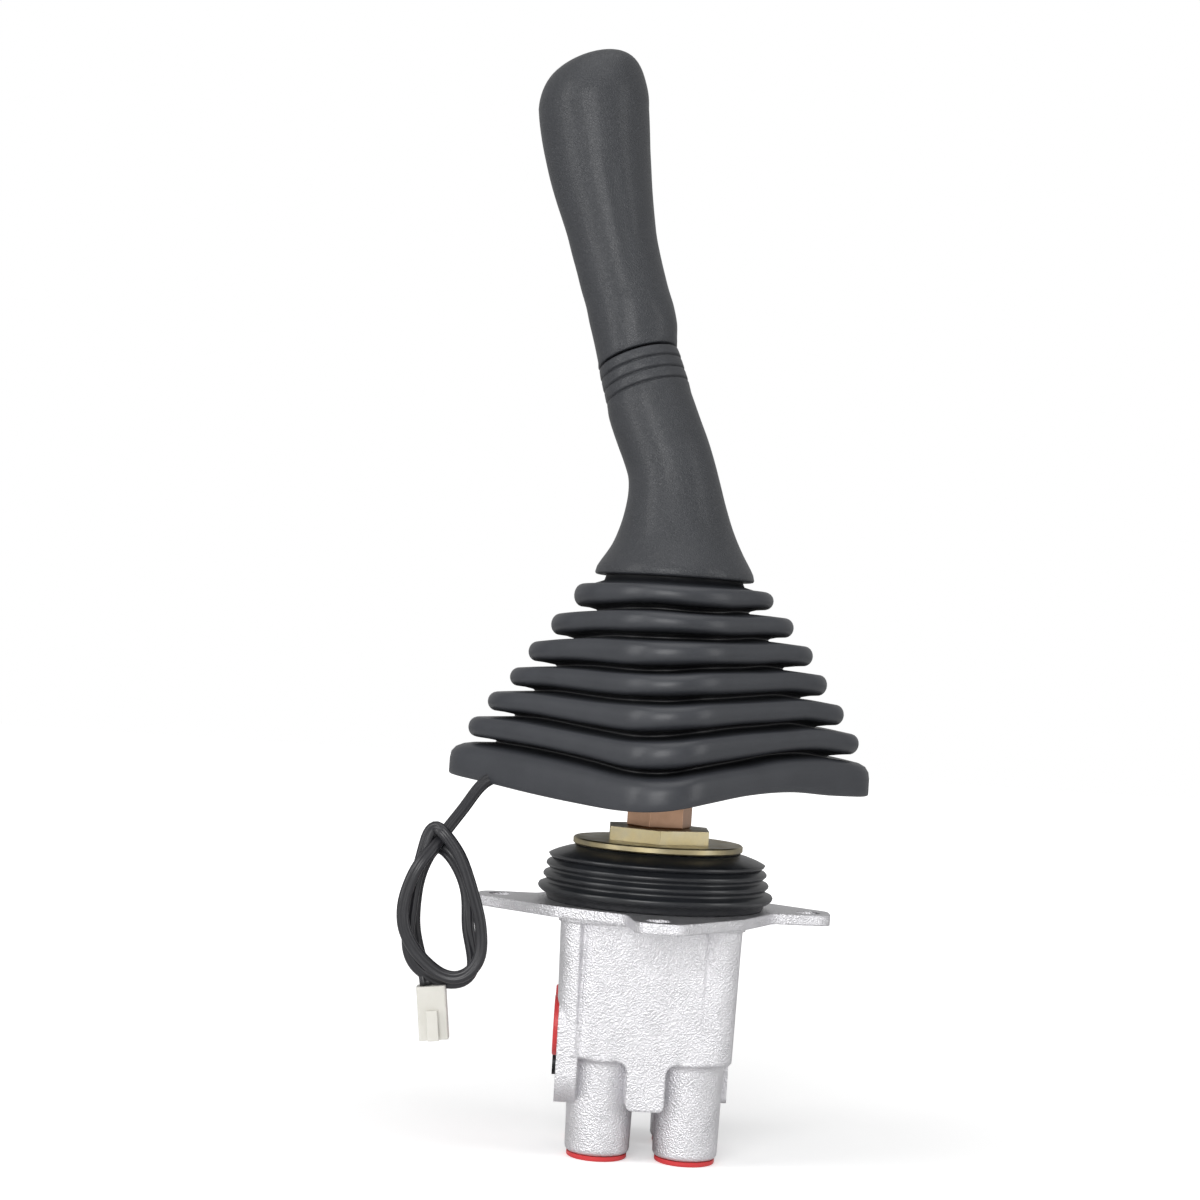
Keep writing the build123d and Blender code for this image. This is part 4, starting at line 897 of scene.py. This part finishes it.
# ---- inner boot
@dataclass
class InnerBoot:
    """Round ribbed boot between the flange and the cam, in two halves that meet.

    Attributes:
        foot: Height of the boot's foot.
        top: Height of the boot's top.
        profile: Radius and height above the foot, from the foot up over the ribs.
        wall: Thickness of the rubber.
        segments: Points round the boot.
        meeting: Height above the foot at which the halves meet.
    """

    foot: float
    top: float
    profile: tuple[Row, ...] = (
        (41.0, 0.0), (41.6, 1.0), (41.9, 2.2), (43.6, 3.0), (44.7, 4.0), (45.0, 4.9), (44.6, 5.7),
        (42.6, 6.5), (41.6, 7.2), (42.3, 8.0), (43.1, 8.8), (43.2, 9.5), (42.7, 10.2), (41.0, 10.9),
        (40.6, 11.5), (41.5, 12.3), (42.2, 13.0), (42.2, 13.7), (41.6, 14.4), (40.2, 15.0),
        (40.0, 15.5), (41.0, 16.2), (41.5, 17.0), (40.2, 17.7), (38.6, 18.4), (35.4, 19.5),
        (33.0, 20.1), (32.0, 20.5), (31.7, 20.9),
    )
    wall: float = 1.8
    segments: int = 128
    meeting: float = 15.5

    def half(self, name: str, low: float, high: float, material: Material) -> Object:
        """Spin the part of the profile between two heights.

        Args:
            name: The piece's name.
            low: Lowest height above the foot.
            high: Highest height above the foot.
            material: The finish.

        Returns:
            The half boot.
        """
        outer = [row for row in self.profile if low <= row[1] <= high]
        mesh = bmesh.new()
        inner = [(radius - self.wall, height) for radius, height in reversed(outer)]
        verts = [mesh.verts.new(Vector((r, 0, self.foot + h)) * MM) for r, h in outer + inner]
        edges = [mesh.edges.new((a, b)) for a, b in zip(verts, verts[1:] + verts[:1])]
        bmesh.ops.spin(mesh, geom=verts + edges, cent=(0, 0, 0), axis=(0, 0, 1),
                       angle=math.tau, steps=self.segments, use_merge=True)
        return finish_object(name, mesh, material)


# ---- lead
@dataclass
class Lead:
    """Two-core lead from the handle's foot, looped twice, to a white connector.

    Attributes:
        route: The lead's way from the grommet and twice round.
        end: The lead's last points, down into the connector.
        width: Across both cores.
        thickness: Across one core.
        step: Distance between the path's points.
        ease: How many times the path is eased.
        twists: Swing, in radians, rate per point and phase of the lead's slow twists.
        waist: Depth and width of the dip between the cores, as shares.
        segments: Points round the lead.
    """

    route: tuple[Point, ...] = (
        (-16.0, -6.5, 136.0), (-16.0, -6.5, 117.5), (-25.0, -9.5, 97.0), (-36.5, -12.2, 77.0),
        (-46.0, -16.6, 61.5), (-57.0, -21.5, 52.0),
        (-66.4, -24, 47.9), (-73.8, -29, 37.4), (-79.5, -34, 29.2), (-83.7, -38, 22.8),
        (-88, -41, 17.1), (-91.2, -40.9, 9.5), (-92.8, -40.9, 2.1), (-92.2, -40.8, -5.9),
        (-89, -40.7, -12.2), (-84.2, -40.6, -17.6), (-77.4, -40.5, -22.5), (-71.6, -40.5, -23.5),
        (-66.9, -40.4, -21), (-63.9, -40.3, -16.4), (-63.3, -40.2, -10.7), (-64.5, -40.2, -1.8),
        (-66.5, -40.1, 4.5), (-70, -40, 14), (-73.3, -40, 21.1), (-77.5, -39.9, 26.7),
        (-81, -39.8, 30.2), (-83.2, -37, 31.4), (-85.2, -36.9, 29.4), (-86.6, -36.8, 24),
        (-87.8, -36.7, 18.0), (-89.2, -36.6, 10.8), (-90, -36.6, 2.7), (-90.6, -36.5, -5.5),
        (-90.5, -36.4, -13.7), (-88.1, -36.3, -19.7), (-82.9, -36.2, -23.7),
        (-75.8, -36.1, -26.1), (-69.3, -36, -25.2), (-66.0, -35.9, -20.7), (-67.0, -35.8, -13.1),
        (-69.0, -35.8, -5.1), (-69.4, -35.7, 1.3), (-70.3, -35.6, 7.8), (-73.2, -35.5, 14.9),
        (-77.9, -35.4, 21.3), (-82.6, -32.5, 23.4), (-86.4, -31.8, 17.2), (-88.6, -31, 9.5),
        (-89.3, -31, 0.6), (-89, -31, -7.0), (-87.4, -31, -13.7), (-85.6, -32.6, -18.6),
    )
    end: tuple[Point, ...] = (
        (-84.2, -34.8, -21.6), (-83.4, -36.0, -24.2), (-82.9, -36.0, -27.4))
    width: float = 4.7
    thickness: float = 3.4
    step: float = 1.3
    ease: int = 6
    twists: tuple[Point, ...] = ((0.35, 0.045, 0.0), (0.2, 0.11, 1.0))
    waist: tuple[float, float] = (0.36, 0.22)
    segments: int = 28

    def path(self) -> list[Vector]:
        """Evenly spaced points of the lead's smooth line, in millimetres."""
        knots = [Vector(point) for point in (*self.route, *self.end)]
        rows = []
        run = 0.0
        for k, knot in enumerate(knots):
            if k:
                run += (knot - knots[k - 1]).length
            rows.append((run, *knot))
        count = int(run / self.step)
        points = [Vector(through(rows, run * k / count)) for k in range(count + 1)]
        for _ in range(self.ease):
            eased = [points[k] * 0.5 + (points[k - 1] + points[k + 1]) * 0.25
                     for k in range(1, len(points) - 1)]
            points = [points[0], *eased, points[-1]]
        return points

    def make(self, material: Material) -> Object:
        """Sweep the two-core section along the path.

        Args:
            material: The finish.

        Returns:
            The lead.
        """
        points = self.path()
        skin = RingSkin(self.segments)
        facing = Vector((0, -1, 0))
        for k, point in enumerate(points):
            ahead = points[min(k + 1, len(points) - 1)] - points[max(k - 1, 0)]
            ahead.normalize()
            twist = sum(swing * math.sin(k * rate + phase) for swing, rate, phase in self.twists)
            wide = ahead.cross(facing).normalized()
            deep = wide.cross(ahead)
            across = wide * math.cos(twist) + deep * math.sin(twist)
            thin = deep * math.cos(twist) - wide * math.sin(twist)
            skin.grow(partial(self.edge, point, across, thin))
        skin.cap(2)
        return finish_object("lead", skin.mesh, material)

    def edge(self, point: Vector, across: Vector, thin: Vector, angle: float) -> Vector:
        """Point of the two-core section at an angle.

        Args:
            point: The section's middle, in millimetres.
            across: Direction across both cores.
            thin: Direction across one core.
            angle: Round the section, in radians.

        Returns:
            The point, in metres.
        """
        depth, width = self.waist
        waist = 1 - depth * math.exp(-(math.cos(angle) / width) ** 2)
        return (point + across * (self.width / 2 * math.cos(angle))
                + thin * (self.thickness / 2 * math.sin(angle) * waist)) * MM

    def length(self) -> float:
        """Length of the lead's smooth line, in metres."""
        points = self.path()
        return sum((b - a).length for a, b in zip(points, points[1:])) * MM


# ---- studio
@dataclass(frozen=True)
class Softbox:
    """A soft rectangular lamp: its place, the point it is aimed at and its size, in metres."""

    name: str
    place: Point
    aim: Point
    size: tuple[float, float]
    watts: float

    def hang(self) -> None:
        """Add the lamp to the scene."""
        data = bpy.data.lights.new(self.name, "AREA")
        data.shape = "RECTANGLE"
        data.size, data.size_y = self.size
        data.energy = self.watts
        lamp = show(self.name, data)
        direction = Vector(self.aim) - Vector(self.place)
        lamp.location = self.place
        lamp.rotation_mode = "QUATERNION"
        lamp.rotation_quaternion = direction.to_track_quat("-Z", "Y")


@dataclass
class Studio:
    """Pale floor, soft lamps and the camera.

    Attributes:
        focal: Focal length of the lens, in millimetres.
        sensor: Width of the camera's sensor, in millimetres.
        distance: From the camera to the target, in metres, along the camera's axis.
        pitch: Upward tilt of the camera, in degrees.
        roll: Turn of the camera about its view, in degrees.
        target: The flange's top centre, in metres.
        aim: Slopes of the sight line to the target, to the right and upward.
        floor_glow: The floor's own light near the middle, and far out.
        floor_fade: Distances, in metres, between which it changes.
        world_light: The world's strength for soft light, and seen directly.
        world_gloss: Share of that range for glossy surfaces.
        softboxes: The lamps.
    """

    focal: float = 69.0
    sensor: float = 36.0
    distance: float = 0.881
    pitch: float = 1.25
    roll: float = 3.6
    target: Point = (0.0, 0.0, 0.004)
    aim: tuple[float, float] = (0.023609, -0.131739)
    floor_glow: tuple[float, float] = (0.38, 1.1)
    floor_fade: tuple[float, float] = (0.15, 0.9)
    world_light: tuple[float, float] = (0.25, 1.0)
    world_gloss: float = 0.3
    softboxes: tuple[Softbox, ...] = (
        Softbox("softbox_front", (-0.3, -1.3, 0.45), (0, 0, 0.1), (0.7, 0.8), 9.5),
        Softbox("softbox_left", (-1.0, -0.5, 0.5), (0, 0, 0.12), (0.4, 1.1), 5.0),
        Softbox("softbox_right", (1.0, -0.45, 0.35), (0, 0, 0.1), (0.4, 1.1), 3.6),
        Softbox("softbox_top", (0.0, -0.2, 1.2), (0, 0, 0.1), (1.0, 1.0), 4.0),
    )

    def camera(self) -> None:
        """Place the camera so that the target falls at the aim."""
        pitch, roll = math.radians(self.pitch), math.radians(self.roll)
        forward = Vector((0, math.cos(pitch), math.sin(pitch)))
        level = Vector((1, 0, 0))
        upright = level.cross(forward)
        right = level * math.cos(roll) + upright * math.sin(roll)
        up = upright * math.cos(roll) - level * math.sin(roll)
        data = bpy.data.cameras.new("camera")
        data.lens = self.focal
        data.sensor_width = self.sensor
        data.clip_start = 0.01
        data.clip_end = 50.0
        camera = show("camera", data)
        frame = Matrix((right, up, -forward)).transposed().to_4x4()
        ray = forward + right * self.aim[0] + up * self.aim[1]
        frame.translation = Vector(self.target) - ray * self.distance
        camera.matrix_world = frame
        bpy.context.scene.camera = camera

    def floor(self, level: float) -> None:
        """Make the floor, a paper that glows whiter with the distance.

        Args:
            level: Its height, in metres.
        """
        mesh = bmesh.new()
        bmesh.ops.create_grid(mesh, x_segments=1, y_segments=1, size=3.0,
                              matrix=Matrix.Translation((0, 0, level)))
        data = bpy.data.meshes.new("floor")
        mesh.to_mesh(data)
        mesh.free()
        floor = show("floor", data)
        material = bpy.data.materials.new("white_paper")
        tree = empty_tree(material)
        paper = add_node(tree, "BsdfDiffuse", {}, {"Color": linear("#f4f4f4")})
        place = add_node(tree, "TexCoord").outputs["Object"]
        reach = add_node(tree, "VectorMath", {"operation": "LENGTH"}, {0: place})
        fade = add_node(tree, "MapRange", {}, {
            "Value": reach.outputs["Value"], "From Min": self.floor_fade[0],
            "From Max": self.floor_fade[1], "To Min": self.floor_glow[0], "To Max": self.floor_glow[1]})
        glow = add_node(tree, "Emission", {}, {
            "Color": (1, 1, 1, 1), "Strength": fade.outputs["Result"]})
        path = add_node(tree, "LightPath")
        seen = add_node(tree, "MixShader", {}, {
            "Fac": path.outputs["Is Camera Ray"], 1: paper.outputs["BSDF"]})
        both = add_node(tree, "AddShader", {}, {0: paper.outputs["BSDF"], 1: glow.outputs["Emission"]})
        tree.links.new(both.outputs["Shader"], seen.inputs[2])
        out = add_node(tree, "OutputMaterial")
        tree.links.new(seen.outputs["Shader"], out.inputs["Surface"])
        data.materials.append(material)
        floor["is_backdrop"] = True

    def world(self) -> None:
        """Make a pale world that shows white to the camera, to gloss and through glass."""
        world = bpy.data.worlds.new("studio")
        bpy.context.scene.world = world
        tree = empty_tree(world)
        path = add_node(tree, "LightPath")
        gloss = add_node(tree, "Math", {"operation": "MULTIPLY"}, {
            0: path.outputs["Is Glossy Ray"], 1: self.world_gloss})
        direct = add_node(tree, "Math", {"operation": "MAXIMUM"}, {
            0: path.outputs["Is Camera Ray"], 1: path.outputs["Is Transmission Ray"]})
        white = add_node(tree, "Math", {"operation": "MAXIMUM"}, {
            0: direct.outputs["Value"], 1: gloss.outputs["Value"]})
        strength = add_node(tree, "MapRange", {}, {
            "Value": white.outputs["Value"], "To Min": self.world_light[0],
            "To Max": self.world_light[1]})
        sky = add_node(tree, "Background", {}, {
            "Color": (1, 1, 1, 1), "Strength": strength.outputs["Result"]})
        out = add_node(tree, "OutputWorld")
        tree.links.new(sky.outputs["Background"], out.inputs["Surface"])

    def light(self) -> None:
        """Hang the softboxes."""
        for softbox in self.softboxes:
            softbox.hang()


# ---- the whole valve
@dataclass
class PilotValve:
    """All of the valve's pieces, from the frame's nodes and a shelf of materials."""

    nodes: dict[str, Object]
    shelf: FinishShelf = field(default_factory=FinishShelf)

    def dress_nodes(self) -> None:
        """Give every piece of the frame its finish."""
        for name, piece in self.nodes.items():
            stem = name.rstrip("0123456789").rstrip("_")
            finish = NODE_FINISHES.get(name) or NODE_FINISHES.get(stem)
            if finish is None:
                continue
            piece.data.materials.clear()
            piece.data.materials.append(self.shelf.take(finish))
            LOG.info("dressed %s as %s", name, finish.name)

    def add_lead(self) -> None:
        """Add the lead in place of the frame's cord."""
        lead = Lead()
        piece = lead.make(self.shelf.take(CORD_PVC))
        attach(piece, "lever")
        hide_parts("cord_lead", "cord_coil")
        path = [point * MM for point in lead.path()]
        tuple(path[0])
        lead.length()

    def add_handle(self) -> None:
        """Add the neck and the grip."""
        handle = Handle(base=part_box("neck_sleeve")[0].z / MM)
        neck = handle.make_neck(self.shelf.take(SOFT_GRIP))
        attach(neck, "lever")
        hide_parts("neck_sleeve")
        grip = handle.make_grip(self.shelf.take(SOFT_GRIP))
        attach(grip, "lever")
        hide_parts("grip")

    def add_bellows(self) -> None:
        """Add the outer bellows."""
        bellows = OuterBellows(top=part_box("neck_sleeve")[0].z / MM)
        piece = bellows.make(self.shelf.take(BELLOWS))
        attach(piece, "lever")
        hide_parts("outer_boot")

    def add_springs(self) -> None:
        """Put a copy of each coil spring, in oiled spring wire, on its body in place of the frame's spring.
        """
        pairs = [(f"{kind}_spring_{k}", f"pusher_{k}_slide", (0, 0, 1))
                 for k in SPRING_SETS for kind in ("return", "balance")]
        pairs.append(("button_spring", "horn_press", (0, 1, 0)))
        for name, joint, axis in pairs:
            node = self.nodes[name]
            body = body_of(node)[0]
            spring = node.copy()
            spring.data = node.data.copy()
            spring.name = f"{name}_coils"
            bpy.context.scene.collection.objects.link(spring)
            spring.data.materials.clear()
            spring.data.materials.append(self.shelf.take(SPRING_STEEL))
            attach(spring, body)
            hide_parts(name)
            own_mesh(spring)

    def add_boot(self) -> None:
        """Add the inner boot's two halves, each bending across one tilt joint."""
        low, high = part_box("small_boot")
        boot = InnerBoot(foot=low.z / MM, top=high.z / MM)
        rubber = self.shelf.take(SMALL_BOOT)
        lower = boot.half("boot_lower", 0.0, boot.meeting, rubber)
        upper = boot.half("boot_upper", boot.meeting, boot.profile[-1][1], rubber)
        middle = (0, 0, (boot.foot + boot.meeting) * MM)
        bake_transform(lower, "valve_body", "cross", start=(0, 0, boot.foot * MM), end=middle)
        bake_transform(upper, "cross", "lever", start=middle, end=(0, 0, boot.top * MM))
        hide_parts("small_boot")
        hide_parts("small_boot")


def main() -> None:
    """Build the studio and the valve in order."""
    logging.basicConfig(level=logging.INFO, format="%(message)s")
    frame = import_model()
    frame_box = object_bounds()
    bpy.context.scene.view_settings.view_transform = "Standard"
    studio = Studio()
    studio.camera()
    valve = PilotValve(frame["nodes"])
    valve.add_lead()
    valve.dress_nodes()
    valve.add_handle()
    valve.add_bellows()
    valve.add_boot()
    valve.add_springs()
    studio.floor(frame_box[0].z)
    studio.world()
    studio.light()


if __name__ == "__main__":
    main()
